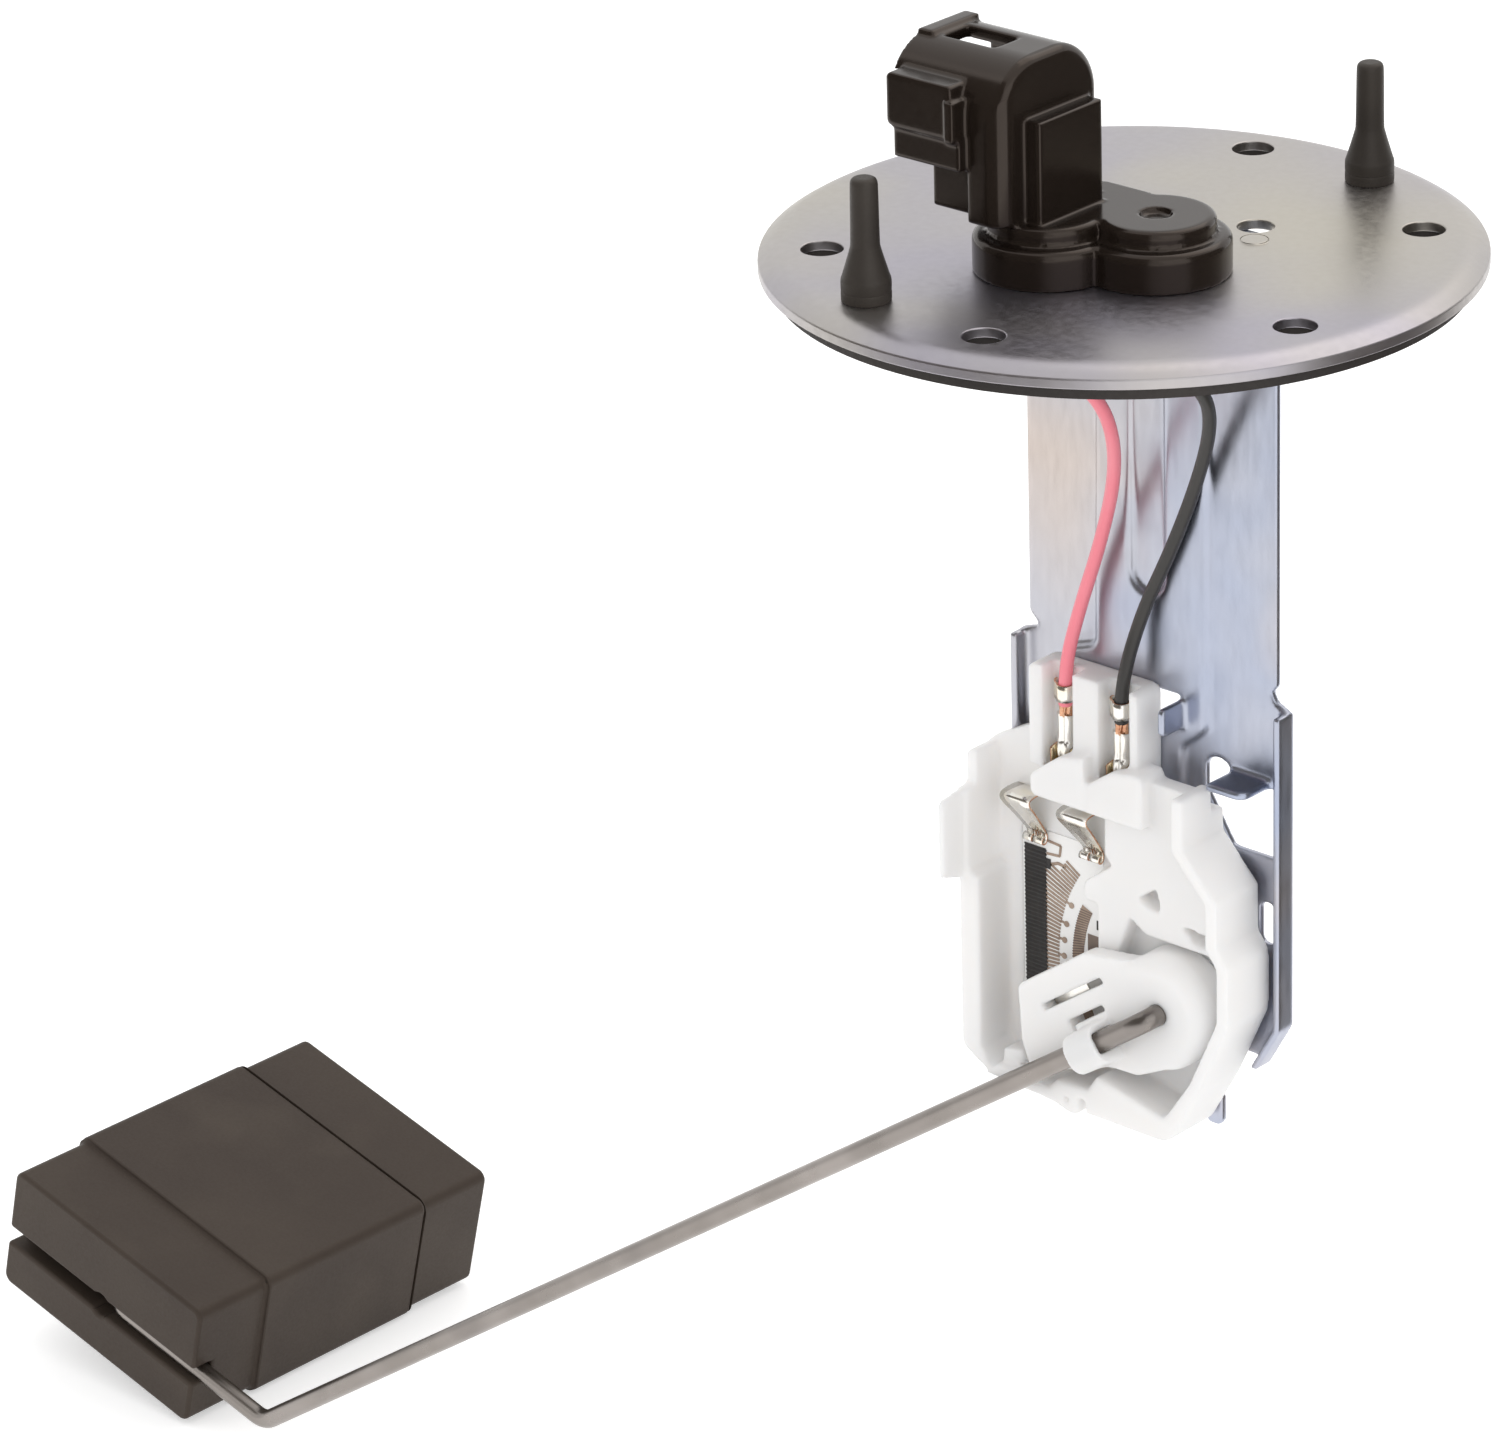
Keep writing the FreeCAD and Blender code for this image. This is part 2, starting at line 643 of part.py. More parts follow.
add(bracket, "XZ_Plane", f"{bracket_back} - flange_reach", bracket_back, [
    ("right_flange_x - flange_sheet", "-bracket_notch_drop - 3.2"),
    ("right_flange_x", "-bracket_notch_drop - 3.2"),
    ("right_flange_x", "-right_flange_drop"),
    ("right_flange_x - 3.6", "-right_flange_drop - 6.3"),
    ("right_flange_x - 4.7", "-right_flange_drop - 6.3"),
    ("right_flange_x - flange_sheet", "-right_flange_drop"),
])
add(bracket, "XZ_Plane", f"{bracket_back} - flange_reach", bracket_back, box(
    "left_flange_x", "left_flange_x + flange_sheet", "-left_flange_drop", "-bracket_notch_drop - 2.7"))
cut(bracket, "XZ_Plane", "panel_front", bracket_back, [
    ("-15", "-sensor_top_drop - 1"),
    ("6.2", "-sensor_top_drop - 1", "1"),
    ("6.2", "-64.7", "0.6"),
    ("-15", "-64.7"),
])
add(bracket, "YZ_Plane", "5.2", "6.3", [
    ("-0.5", "-60.4", "0.6"),
    (bracket_back, "-60.4"),
    (bracket_back, "-64.1"),
    ("-0.5", "-64.1", "0.6"),
])
cut(bracket, "XZ_Plane", "panel_front", bracket_back, [
    ("9.2", "-67.3", "1.5"),
    ("13", "-67.3", "1.5"),
    ("13", "-ledge_drop - 1.1"),
    ("21", "-ledge_drop - 1.1"),
    ("21", "-78.8", "1"),
    ("13.4", "-78.8", "1"),
    ("9.2", "-72"),
])
cut(bracket, "XZ_Plane", "panel_front", bracket_back, [
    ("17.9", "-85.2", "0.8"), ("20", "-85.2", "0.8"), ("20", "-91", "0.8"), ("17.9", "-91", "0.8")])
add(bracket, "XY_Plane", "-ledge_drop - 1.1", "-ledge_drop", [
    ("13.3", "bracket_front - ledge_reach"),
    ("19.4", "bracket_front - ledge_reach", "2"),
    ("19.4", bracket_back),
    ("13.3", bracket_back),
])
cut(bracket, "XZ_Plane", "panel_front", bracket_back, ("pivot_x", "-pivot_drop", "2.2"))
nodes.append(bracket)

# Sensor body: slotted moulding that carries the card, the contacts and the rotor
sensor = new_body("sensor_body")
floor_front = "sensor_back - sensor_floor"
add(sensor, "XZ_Plane", floor_front, "sensor_back", [
    ("channel_left_edge", "-sensor_top_drop", "1"),
    ("channel_right_edge", "-sensor_top_drop", "1"),
    ("channel_right_edge", "-73"),
    ("12.8", "-73"),
    ("12.8", "-76.2"),
    ("18.3", "-82.1"),
    ("18.3", "-88.4"),
    ("20.1", "-90.9", "2"),
    ("20.1", "-99", "4"),
    ("15.4", "-109.4"),
    ("10.4", "-sensor_bottom_drop", "2.5"),
    ("sensor_left + 5.3", "-sensor_bottom_drop + 0.6"),
    ("sensor_left", "-sensor_bottom_drop + 3.6", "2"),
    ("sensor_left", "-72.8", "2"),
    ("channel_left_edge", "-68"),
])
add(sensor, "XZ_Plane", "channel_front", f"{floor_front} + 0.01", [
    ("channel_left_edge", "-sensor_top_drop", "1"),
    ("channel_right_edge", "-sensor_top_drop", "1"),
    ("channel_right_edge", "-channel_foot_drop"),
    ("channel_left_edge", "-channel_foot_drop"),
])
# Noses that roof the lower end of each channel
add(sensor, "XZ_Plane", "nose_front", f"{floor_front} + 0.01", [
    ("-13", "-76", "0.9"),
    ("-13", "-73", "1.3"),
    ("-8.4", "-69.6", "2"),
    ("-4.2", "-68.6"),
    ("-4.2", "-76"),
])
add(sensor, "XZ_Plane", "nose_front + 0.3", f"{floor_front} + 0.01", [
    ("-4.9", "-76.2", "0.9"),
    ("-4.9", "-72.9", "1.3"),
    ("0.2", "-69.4", "2"),
    ("5.2", "-68.6", "1"),
    ("5.2", "-76.2"),
])
for step in ("0", "channel_pitch"):
    cut(sensor, "XZ_Plane", "channel_front", floor_front, box(
        f"channel_left + {step} - channel_width / 2", f"channel_left + {step} + channel_width / 2",
        "-terminal_top_drop - terminal_length - 0.5", "-sensor_top_drop"))
# Plateau between the noses and the hub, with its sunk corners
add(sensor, "XZ_Plane", "channel_front", f"{floor_front} + 0.01", [
    ("-2.7", "-75.5"),
    ("-2.7", "-82.6"),
    ("-1.6", "-83.8"),
    ("-6.3", "-87.2", "1.2"),
    ("-6.3", "-90.3", "0.8"),
    ("-4.1", "-89.6"),
    ("-4.1", "-96.6"),
    ("-0.9", "-96.6"),
    ("1.4", "-90.2"),
    ("3.9", "-92"),
    ("17.4", "-92"),
    ("17.4", "-83.2"),
    ("12", "-77.4"),
    ("11.2", "-70.2"),
    ("4.8", "-70.2"),
    ("4.8", "-75.5"),
])
cut(sensor, "XZ_Plane", "channel_front", floor_front,
    [("2.6", "-87.1"), ("5.8", "-84.9"), ("6.3", "-88.3"), ("3.9", "-87.8")],
    [("9.6", "-89"), ("15", "-89.2"), ("15.6", "-91"), ("12.1", "-91.1")])
# Left wall with the stop tab
add(sensor, "XZ_Plane", "sensor_rim", f"{floor_front} + 0.01", [
    ("sensor_left", "-77.5"),
    ("sensor_left + sensor_wall", "-77.5"),
    ("sensor_left + sensor_wall", "-89"),
    ("sensor_left + left_wall_thickness", "-89.7"),
    ("sensor_left + left_wall_thickness", "-114"),
    ("sensor_left + 5.3", "-sensor_bottom_drop + 0.6"),
    ("sensor_left", "-sensor_bottom_drop + 3.6", "2"),
])
add(sensor, "XZ_Plane", "-3.4", f"{floor_front} + 0.01", [
    ("sensor_left", "-72.8", "1"),
    ("sensor_left + sensor_wall", "-72.8"),
    ("sensor_left + sensor_wall", "-78.8"),
    ("sensor_left", "-78.8"),
])
add(sensor, "YZ_Plane", "sensor_left + 0.45", "sensor_left + 0.45 + stop_tab_thickness", [
    ("-stop_tab_reach", "-stop_tab_bottom + 1.5"),
    ("-stop_tab_reach", "-78", "1"),
    ("sensor_rim + 0.1", "-77.5"),
    ("sensor_rim + 0.1", "-stop_tab_bottom"),
])
# Guard wall round the hub and along the right side
add(sensor, "XZ_Plane", "sensor_rim + 0.2", f"{floor_front} + 0.01", [
    ("12.8", "-69.4"),
    ("12.8", "-76.2", "1"),
    ("18.3", "-82.1", "1"),
    ("18.3", "-88.4"),
    ("20.1", "-90.9", "2"),
    ("20.1", "-99", "4"),
    ("15.4", "-109.4"),
    ("10.4", "-sensor_bottom_drop", "2.5"),
    ("7.4", "-sensor_bottom_drop"),
    ("13.8", "-108.7"),
    ("18.3", "-98.6", "3"),
    ("18.3", "-91.4", "1"),
    ("16.5", "-88.9"),
    ("16.5", "-82.8", "0.6"),
    ("11", "-76.9", "1.4"),
    ("11", "-69.4"),
])
# Bottom rim, its ribs and the resting stop
add(sensor, "XZ_Plane", "sensor_rim", f"{floor_front} + 0.01", [
    ("sensor_left + 4", "-sensor_bottom_drop + 0.7"),
    ("-8.7", "-sensor_bottom_drop"),
    ("-5.7", "-sensor_bottom_drop - 0.9", "2"),
    ("-2.7", "-sensor_bottom_drop"),
    ("8.6", "-sensor_bottom_drop"),
    ("11.6", "-115.4"),
    ("-1.5", "-112.4"),
    ("-3", "-114.8"),
    ("-8.2", "-114.8", "1"),
    ("-9.5", "-116.4"),
    ("sensor_left + 6", "-sensor_bottom_drop + 2.4"),
])
add(sensor, "XZ_Plane", "-3.4", f"{floor_front} + 0.01", [
    ("-18.6", "-114.2"),
    ("-15.3", "-113.6", "0.5"),
    ("-14.9", "-115.4"),
    ("-18.6", "-116.2"),
])
cut(sensor, "XZ_Plane", "sensor_rim", "sensor_rim + 1", ("-6.5", "-117.3", "0.45"))
cut(sensor, "XZ_Plane", "sensor_rim", "sensor_rim + 4", box("-4.6", "-3.3", "-119.5", "-116.4"))
cut(sensor, "XZ_Plane", floor_front, "card_front + card_thickness + fit_clearance", box(
    "card_left - fit_clearance", "card_right + fit_clearance",
    "-card_bottom_drop - fit_clearance", "-card_top_drop + fit_clearance"))
cut(sensor, "XZ_Plane", floor_front, "sensor_back", ("pivot_x", "-pivot_drop", "arm_radius + pin_clearance"))
nodes.append(sensor)

# Resistor card with its printed tracks
card = new_body("resistor_card")
add(card, "XZ_Plane", "card_front", "card_front + card_thickness", box(
    "card_left", "card_right", "-card_bottom_drop", "-card_top_drop"))
nodes.append(card)
resistor = new_body("card_resistor")
resistor_left = "card_left + 0.4"
resistor_right = f"{resistor_left} + resistor_width"
add(resistor, "XZ_Plane", "card_front - track_height * 2", "card_front", box(
    resistor_left, resistor_right, "-card_bottom_drop", "-86.2"))
nodes.append(resistor)


def sector(label, inner, band, top_angle):
    """A printed band of the card between two arcs about the pivot, open towards the resistor."""
    track = new_body(label)
    low = "card_front - track_height"
    add(track, "XZ_Plane", low, "card_front",
        ("pivot_x", "-pivot_drop", f"{inner} + {band}"), ("pivot_x", "-pivot_drop", inner))
    ray = [(f"pivot_x - 30 * cos({top_angle} * 1deg)", f"-pivot_drop + 30 * sin({top_angle} * 1deg)")]
    return track, low, ray


def trim(track, low, ray):
    """Keeps of the rings what lies on the card, right of the resistor and below the ray."""
    cut(track, "XZ_Plane", low, "card_front", [
        ("pivot_x", "-pivot_drop"), *ray, ("-30", "-60"), ("50", "-60"), ("50", "-140"), ("-30", "-140"),
        ("-30", "-card_bottom_drop + 0.3"), ("card_right - 0.3", "-card_bottom_drop + 0.3"),
        ("card_right - 0.3", "-pivot_drop - 4")])
    nodes.append(track)


comb, comb_low, comb_ray = sector("card_comb", "comb_inner_radius", "comb_band", "comb_top_angle")
tooth = add(comb, "XZ_Plane", comb_low, "card_front", box(
    f"{resistor_right} - 0.5", "-10.4", "-87.6 - comb_tooth / 2", "-87.6 + comb_tooth / 2"))
teeth = comb.newObject("PartDesign::LinearPattern", "LinearPattern")
teeth.Originals = [tooth]
teeth.Direction = (next(f for f in comb.Origin.OriginFeatures if f.Role == "Z_Axis"), [""])
teeth.Reversed = True
teeth.setExpression("Length", size("comb_pitch * (comb_count - 1)"))
teeth.setExpression("Occurrences", size("comb_count"))
comb.Tip = teeth
cut(comb, "XZ_Plane", comb_low, "card_front", ("pivot_x", "-pivot_drop", "comb_inner_radius"))
cut(comb, "XZ_Plane", comb_low, "card_front", box("-30", resistor_right, "-140", "-60"))
trim(comb, comb_low, comb_ray)
ring, ring_low, ring_ray = sector("card_ring", "track_inner_radius", "track_band", "track_top_angle")
trim(ring, ring_low, ring_ray)

# Contact clips that press on the card
for side, step in (("left", "0"), ("right", "clip_pitch")):
    clip = new_body(f"contact_clip_{side}")
    add(clip, "YZ_Plane", f"clip_left + {step} - clip_width / 2", f"clip_left + {step} + clip_width / 2", [
        (f"{floor_front} - 0.35", "-76.4"),
        ("-1.5", "-78.7"),
        (f"{floor_front} - 0.4", "-84.3"),
        (f"{floor_front} - 0.4", "-86"),
        (floor_front, "-86"),
        (floor_front, "-84.1"),
        ("-1.1", "-78.7"),
        (floor_front, "-76.5"),
    ])
    nodes.append(clip)

# Crimped terminals in the channels: a barrel on the insulation, the shank and a barrel below
for name, step in (("red", "0"), ("black", "channel_pitch")):
    terminal = new_body(f"terminal_{name}")
    middle = f"channel_left + {step}"
    foot = "-terminal_top_drop - terminal_length"
    add(terminal, "XZ_Plane", "terminal_y + 0.4", floor_front, box(
        f"{middle} - shank_width / 2", f"{middle} + shank_width / 2", foot, "-terminal_top_drop"))
    for low, high in (("-terminal_top_drop - 2.9", "-terminal_top_drop"), (foot, f"{foot} + 3.2")):
        add(terminal, "XY_Plane", low, high, [
            (f"{middle} - crimp_width / 2", "terminal_y - 1.05", "0.9"),
            (f"{middle} + crimp_width / 2", "terminal_y - 1.05", "0.9"),
            (f"{middle} + crimp_width / 2", floor_front),
            (f"{middle} - crimp_width / 2", floor_front)])
    nodes.append(terminal)

# Rotor: drum, wing and clip, turned to the resting angle about the pivot
rotor = new_body("rotor")
drum_back = f"{floor_front} - running_gap"
add(rotor, "XZ_Plane", "rotor_front", drum_back, ("0", "0", "drum_radius"))
add(rotor, "XZ_Plane", "rotor_front", "rotor_front + rotor_sheet", [
    ("0", "drum_radius - 0.2"),
    ("0", "-drum_radius + 0.2"),
    ("-clip_near", "-6.1", "1.5"),
    ("-clip_far + 1.4", "-wing_bottom + 0.8"),
    ("-wing_reach - 5.1", "0", "1"),
    ("-wing_reach - 4.1", "wing_bottom", "1"),
    ("-wing_reach", "wing_top", "1.5"),
    ("-7", "wing_top", "3"),
])
cut(rotor, "XZ_Plane", "rotor_front", "rotor_front + rotor_sheet",
    box("-18.6", "-6.5", "6.5", "7.4"),
    [("-15.4", "2"), ("-14.8", "2"), ("-14.8", "3.2"), ("-8.4", "3.2"), ("-8.4", "4.1"), ("-15.4", "4.1")])
add(rotor, "XZ_Plane", "arm_plane + arm_radius + 0.1", "rotor_front",
    ("0", "0", "4"))
cut(rotor, "XZ_Plane", "arm_plane", "rotor_front + 0.01",
    box("-20", "0", "-arm_radius - fit_clearance", "arm_radius + fit_clearance"))
add(rotor, "YZ_Plane", "-clip_far", "-clip_near", [
    ("rotor_front + 0.01", "-3.2"),
    ("rotor_front + 0.01", "2.6"),
    ("arm_plane - arm_radius - 0.8", "2.4", "2"),
    ("arm_plane - arm_radius - 0.8", "-2.8", "2"),
])
cut(rotor, "YZ_Plane", "-clip_far - 0.1", "-clip_near + 0.1", box(
    "arm_plane - arm_radius - fit_clearance", "rotor_front",
    "-arm_radius - fit_clearance", "arm_radius + fit_clearance"))
cut(rotor, "XZ_Plane", "arm_plane", drum_back, ("0", "0", "arm_radius + fit_clearance"))
place(rotor, "pivot_x", "0", "-pivot_drop", "-arm_rest_angle")
nodes.append(rotor)

# Wiper behind the wing, with two contacts over the tracks
wiper = new_body("wiper")
add(wiper, "XZ_Plane", "rotor_front + rotor_sheet", "rotor_front + rotor_sheet + clip_sheet", [
    ("-12", "4.6"), ("-12", "9"), ("-22", "9"), ("-24", "6.4"), ("-24", "4.6")])
for reach in ("23", "18.4"):
    add(wiper, "XZ_Plane", "rotor_front + rotor_sheet", "card_front - track_height - running_gap",
        (f"-{reach} + 0.7", "6.3", "0.6"))
place(wiper, "pivot_x", "0", "-pivot_drop", "-arm_rest_angle")
nodes.append(wiper)


def moving(along, across, y):
    """A point of the arm from its distance along the arm and above it."""
    angle = math.radians(value("arm_rest_angle"))
    x = value("pivot_x") - along * math.cos(angle) - across * math.sin(angle)
    z = -value("pivot_drop") - along * math.sin(angle) + across * math.cos(angle)
    return Vector(x, y, z)


# Float arm: one bent wire from the pivot pin to the float
flat_tail = "arm_tail * cos(float_tilt * 1deg)"
tail_x = (f"pivot_x - arm_length * cos(arm_rest_angle * 1deg)"
          f" - {flat_tail} * cos(float_turn * 1deg)")
tail_y = f"arm_plane + {flat_tail} * sin(float_turn * 1deg)"
tail_z = "-pivot_drop - arm_length * sin(arm_rest_angle * 1deg) + arm_tail * sin(float_tilt * 1deg)"
float_yaw = math.radians(value("float_turn"))
tail = Vector(value(tail_x), value(tail_y), value(tail_z))
arm_points = [
    moving(0, 0, value("sensor_back - 0.2")),
    moving(0, 0, value("arm_plane")),
    moving(value("arm_length"), 0, value("arm_plane")),
    tail,
    tail + Vector(math.sin(float_yaw), math.cos(float_yaw), 0) * value("float_hole_length"),
]
arm_bends = [value("pin_bend"), value("arm_bend"), value("arm_bend")]
nodes.append(wire_solid("float_arm", arm_points, "arm_radius", arm_bends))

# Float: a block with stepped ends and a keyhole slot, round the end of the wire
float_body = new_body("float")
side = "float_width / 2"
bottom = "-float_height / 2 + float_hole_below"
top = "float_height / 2 + float_hole_below"
float_back = "float_front + float_length"
wire_half = "arm_radius + fit_clearance"
add(float_body, "XZ_Plane", "float_front + float_end_length", f"{float_back} - float_end_length",
    box(f"-{side}", side, bottom, top, "float_corner"))
for low, high in (("float_front", "float_front + float_end_length"),
                  (f"{float_back} - float_end_length", float_back)):
    add(float_body, "XZ_Plane", low, high, box(
        f"-{side} + float_end_step", f"{side} - float_end_step",
        f"{bottom} + float_end_step", f"{top} - float_end_step", "float_corner"))
cut(float_body, "XZ_Plane", "float_front", wire_half, box(
    f"-{side}", side, f"-{wire_half}", wire_half))
cut(float_body, "XZ_Plane", "float_front", wire_half, ("0", "0", "float_keyhole_radius"))
cut(float_body, "XZ_Plane", "float_front", "arm_bend + 0.5", box(
    "0", "arm_bend + arm_radius + 0.3", f"-{wire_half}", wire_half))
cut(float_body, "XZ_Plane", "float_front", "float_hole_length + 3", ("0", "0", wire_half))
place(float_body, tail_x, tail_y, tail_z, "float_tilt", "-float_turn")
nodes.append(float_body)

# Leads from the posts to the crimps, lying on the raised panel
post_foot = value("-post_drop")
crimp = value("-terminal_top_drop")
straight = value("lead_straight")
lead_points = {
    "lead_red": ("tower_left_x", "tower_left_y", "channel_left", [
        (2.8, -9.2, -15.6), (1.7, -4.4, -22.0), (-1.4, -0.2, -30.7), (-5.4, 1.6, -41.1), (-8.8, 1.5, -50.7)]),
    "lead_black": ("tower_right_x", "tower_right_y", "channel_left + channel_pitch", [
        (14.1, -1.9, -14.6), (12.7, 1.5, -20.6), (9.5, 2.8, -29.1), (5.3, 2.75, -39.4), (0.6, 2.4, -49.2)]),
}
for name, (post_x, post_y, end_x, spots) in lead_points.items():
    way = [(value(post_x), value(post_y), post_foot), (value(post_x), value(post_y), post_foot - straight)]
    way += spots
    way += [(value(end_x), value("terminal_y"), crimp + straight / 2), (value(end_x), value("terminal_y"), crimp)]
    nodes.append(wire_solid(name, [Vector(*spot) for spot in way], "lead_radius", sides=12))

doc.recompute()

# Every object and every solid is sound before anything is written
failed = []
for thing in doc.Objects:
    if "Invalid" in thing.State or "Error" in thing.State:
        owner = thing.getParentGeoFeatureGroup()
        failed.append(f"{owner.Label if owner else ''} {thing.Label}: {thing.getStatusString()}")
if failed:
    raise RuntimeError("these did not build: " + "; ".join(failed))
for thing in doc.Objects:
    if thing.TypeId == "PartDesign::Pocket":
        removed = thing.BaseFeature.Shape.Volume - thing.Shape.Volume
        if removed < 1e-3:
            raise RuntimeError(f"{thing.Label} of {thing.getParentGeoFeatureGroup().Label} cuts nothing")
for node in nodes:
    if node.Shape.isNull() or not node.Shape.isValid() or not node.Shape.Solids:
        raise RuntimeError(f"{node.Label} is not a sound solid")

os.makedirs("parts", exist_ok=True)
for node in nodes:
    node.Shape.exportStep(f"parts/{node.Label}.step")
    print(f"{node.Label}: {len(node.Shape.Solids)} solid, {node.Shape.Volume:.1f} mm3")
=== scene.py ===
# %% [markdown]
# # A fuel level sender, dressed for a studio picture
# The sender hangs from a round cover plate in a tank. A pressed bracket carries a white
# moulded sensor, and a long wire arm with a float turns a wiper over a printed card.
# The solids come from the CAD model. Here they get their soft edges, their fine parts and
# their finishes, and every new piece is a surface worked out with numpy.

# %% Tools and the frame
import json
import math

import bmesh
import bpy
import numpy as np
from mathutils import Matrix, Vector

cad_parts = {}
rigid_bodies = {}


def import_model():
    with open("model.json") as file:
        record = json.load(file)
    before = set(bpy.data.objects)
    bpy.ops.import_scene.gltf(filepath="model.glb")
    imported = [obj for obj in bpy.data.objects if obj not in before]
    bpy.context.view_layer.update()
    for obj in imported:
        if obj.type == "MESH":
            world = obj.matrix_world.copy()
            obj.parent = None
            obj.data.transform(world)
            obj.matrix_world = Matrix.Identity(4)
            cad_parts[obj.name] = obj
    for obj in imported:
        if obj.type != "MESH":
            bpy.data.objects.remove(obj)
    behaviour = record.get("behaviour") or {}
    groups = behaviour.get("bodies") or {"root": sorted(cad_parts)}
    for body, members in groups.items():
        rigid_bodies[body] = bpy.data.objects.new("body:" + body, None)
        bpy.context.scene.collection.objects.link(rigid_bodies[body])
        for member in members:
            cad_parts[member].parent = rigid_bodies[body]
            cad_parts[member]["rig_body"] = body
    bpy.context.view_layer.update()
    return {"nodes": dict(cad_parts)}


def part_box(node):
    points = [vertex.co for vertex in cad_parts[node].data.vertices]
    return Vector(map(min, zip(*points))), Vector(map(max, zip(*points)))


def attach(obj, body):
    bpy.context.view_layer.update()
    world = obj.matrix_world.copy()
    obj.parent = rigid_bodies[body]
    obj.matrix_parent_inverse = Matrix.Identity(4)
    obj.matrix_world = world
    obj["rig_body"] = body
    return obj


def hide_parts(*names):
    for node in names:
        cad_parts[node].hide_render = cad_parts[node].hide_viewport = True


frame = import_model()
MM = 0.001

# %% [markdown]
# ## The camera
# The picture was taken with a long lens from the front right, a little above the part.
# A long lens keeps the round plate a calm ellipse, so the camera stands well away. Its three
# axes are written down as measured: to the right, up, and back towards the viewer.

# %% Camera
camera_spot = Vector((514.59, -627.46, 296.10)) * MM
camera_right = Vector((0.74303, 0.66861, -0.02938))
camera_up = Vector((-0.25031, 0.31835, 0.91433))
camera_back = Vector((0.62068, -0.67202, 0.40391))
camera_data = bpy.data.cameras.new("camera")
camera_data.sensor_width = 36
camera_data.sensor_fit = "HORIZONTAL"
camera_data.lens = 168
camera_data.clip_start = 0.05
camera_data.clip_end = 20
camera = bpy.data.objects.new("camera", camera_data)
turn = Matrix((camera_right, camera_up, camera_back)).transposed()
camera.matrix_world = Matrix.Translation(camera_spot) @ turn.to_4x4()
bpy.context.scene.collection.objects.link(camera)
bpy.context.scene.camera = camera
bpy.context.scene.view_settings.view_transform = "Standard"
print("camera", round(camera_spot.length, 3), "m from the middle of the plate")

# %% [markdown]
# ## Light and floor
# Satin plating and a glossy moulding need something to mirror. Three large soft lamps stand
# to the left, to the right and high behind the part, and the world around is plain white.
# The light that the world gives and the white that the camera, mirrors and glass see are
# two backgrounds, so one can change without the other. The floor is a sheet of white paper
# with a faint glow for the same rays, so it runs into the white behind it. Two dim boards
# stand to the right and in front of the connector. Only mirrors show them, so the faces that
# are turned to a studio's unlit side get its dark sheen.

# %% World
WORLD_LIGHT = 1.0
WORLD_SHOWN = 1.0


def feed(tree, socket, value):
    """Links a node's output to a socket, or gives the socket a plain value."""
    if isinstance(value, bpy.types.NodeSocket):
        tree.links.new(value, socket)
    else:
        socket.default_value = value


def combine(tree, kind, operation, first, second):
    """A number or vector worked out from two others."""
    node = tree.nodes.new(kind)
    node.operation = operation
    feed(tree, node.inputs[0], first)
    feed(tree, node.inputs[1], second)
    return node.outputs[0]


def seen_directly(tree):
    """One where a ray comes from the camera, a mirror or glass, and nought elsewhere."""
    ray = tree.nodes.new("ShaderNodeLightPath").outputs
    opaque = combine(tree, "ShaderNodeMath", "MAXIMUM", ray["Is Camera Ray"], ray["Is Glossy Ray"])
    return combine(tree, "ShaderNodeMath", "MAXIMUM", opaque, ray["Is Transmission Ray"])


def white_background(tree, strength):
    """A plain white background of a given strength."""
    node = tree.nodes.new("ShaderNodeBackground")
    node.inputs["Color"].default_value = (1, 1, 1, 1)
    node.inputs["Strength"].default_value = strength
    return node.outputs[0]


world = bpy.data.worlds.new("studio")
world.use_nodes = True
bpy.context.scene.world = world
sky = world.node_tree
sky.nodes.clear()
either = sky.nodes.new("ShaderNodeMixShader")
sky_out = sky.nodes.new("ShaderNodeOutputWorld")
feed(sky, either.inputs[0], seen_directly(sky))
feed(sky, either.inputs[1], white_background(sky, WORLD_LIGHT))
feed(sky, either.inputs[2], white_background(sky, WORLD_SHOWN))
feed(sky, sky_out.inputs["Surface"], either.outputs[0])
print("world:", len(sky.nodes), "nodes")


# %% Lamps
def lamp(name, spot, aim, size, watts, colour):
    """A square soft lamp at a spot, turned towards a point."""
    data = bpy.data.lights.new(name, "AREA")
    data.size = size
    data.energy = watts
    data.color = colour
    obj = bpy.data.objects.new(name, data)
    heading = Vector(aim) - Vector(spot)
    facing = heading.to_track_quat("-Z", "Y").to_matrix().to_4x4()
    obj.matrix_world = Matrix.Translation(Vector(spot)) @ facing
    bpy.context.scene.collection.objects.link(obj)


part_middle = (-0.07, 0.0, -0.10)
plate_middle = (0, 0, 0)
lamp("lamp_left", (-0.90, -1.10, 1.00), part_middle, size=1.3, watts=1.5, colour=(1.0, 0.985, 0.965))
lamp("lamp_right", (1.10, -0.40, 0.45), part_middle, size=1.0, watts=1.2, colour=(0.97, 0.985, 1.0))
lamp("lamp_top", (0.05, 0.75, 1.10), plate_middle, size=1.0, watts=2.6, colour=(1.0, 0.92, 0.84))

# %% Floor and dim boards
FLOOR_REACH = 4.0
FLOOR_GAP = 0.4 * MM
FLOOR_GLOW = 0.42


def matt_material(name, colour):
    """A new material of one matt colour, its tree and its shader."""
    material = bpy.data.materials.new(name)
    material.use_nodes = True
    shader = material.node_tree.nodes["Principled BSDF"]
    shader.inputs["Base Color"].default_value = (*colour, 1)
    return material, material.node_tree, shader


def stage_sheet(name, corners, material):
    """A flat sheet with four corners that belongs to the studio."""
    mesh = bpy.data.meshes.new(name)
    mesh.from_pydata(corners, [], [(0, 1, 2, 3)])
    mesh.materials.append(material)
    sheet = bpy.data.objects.new(name, mesh)
    bpy.context.scene.collection.objects.link(sheet)
    return sheet


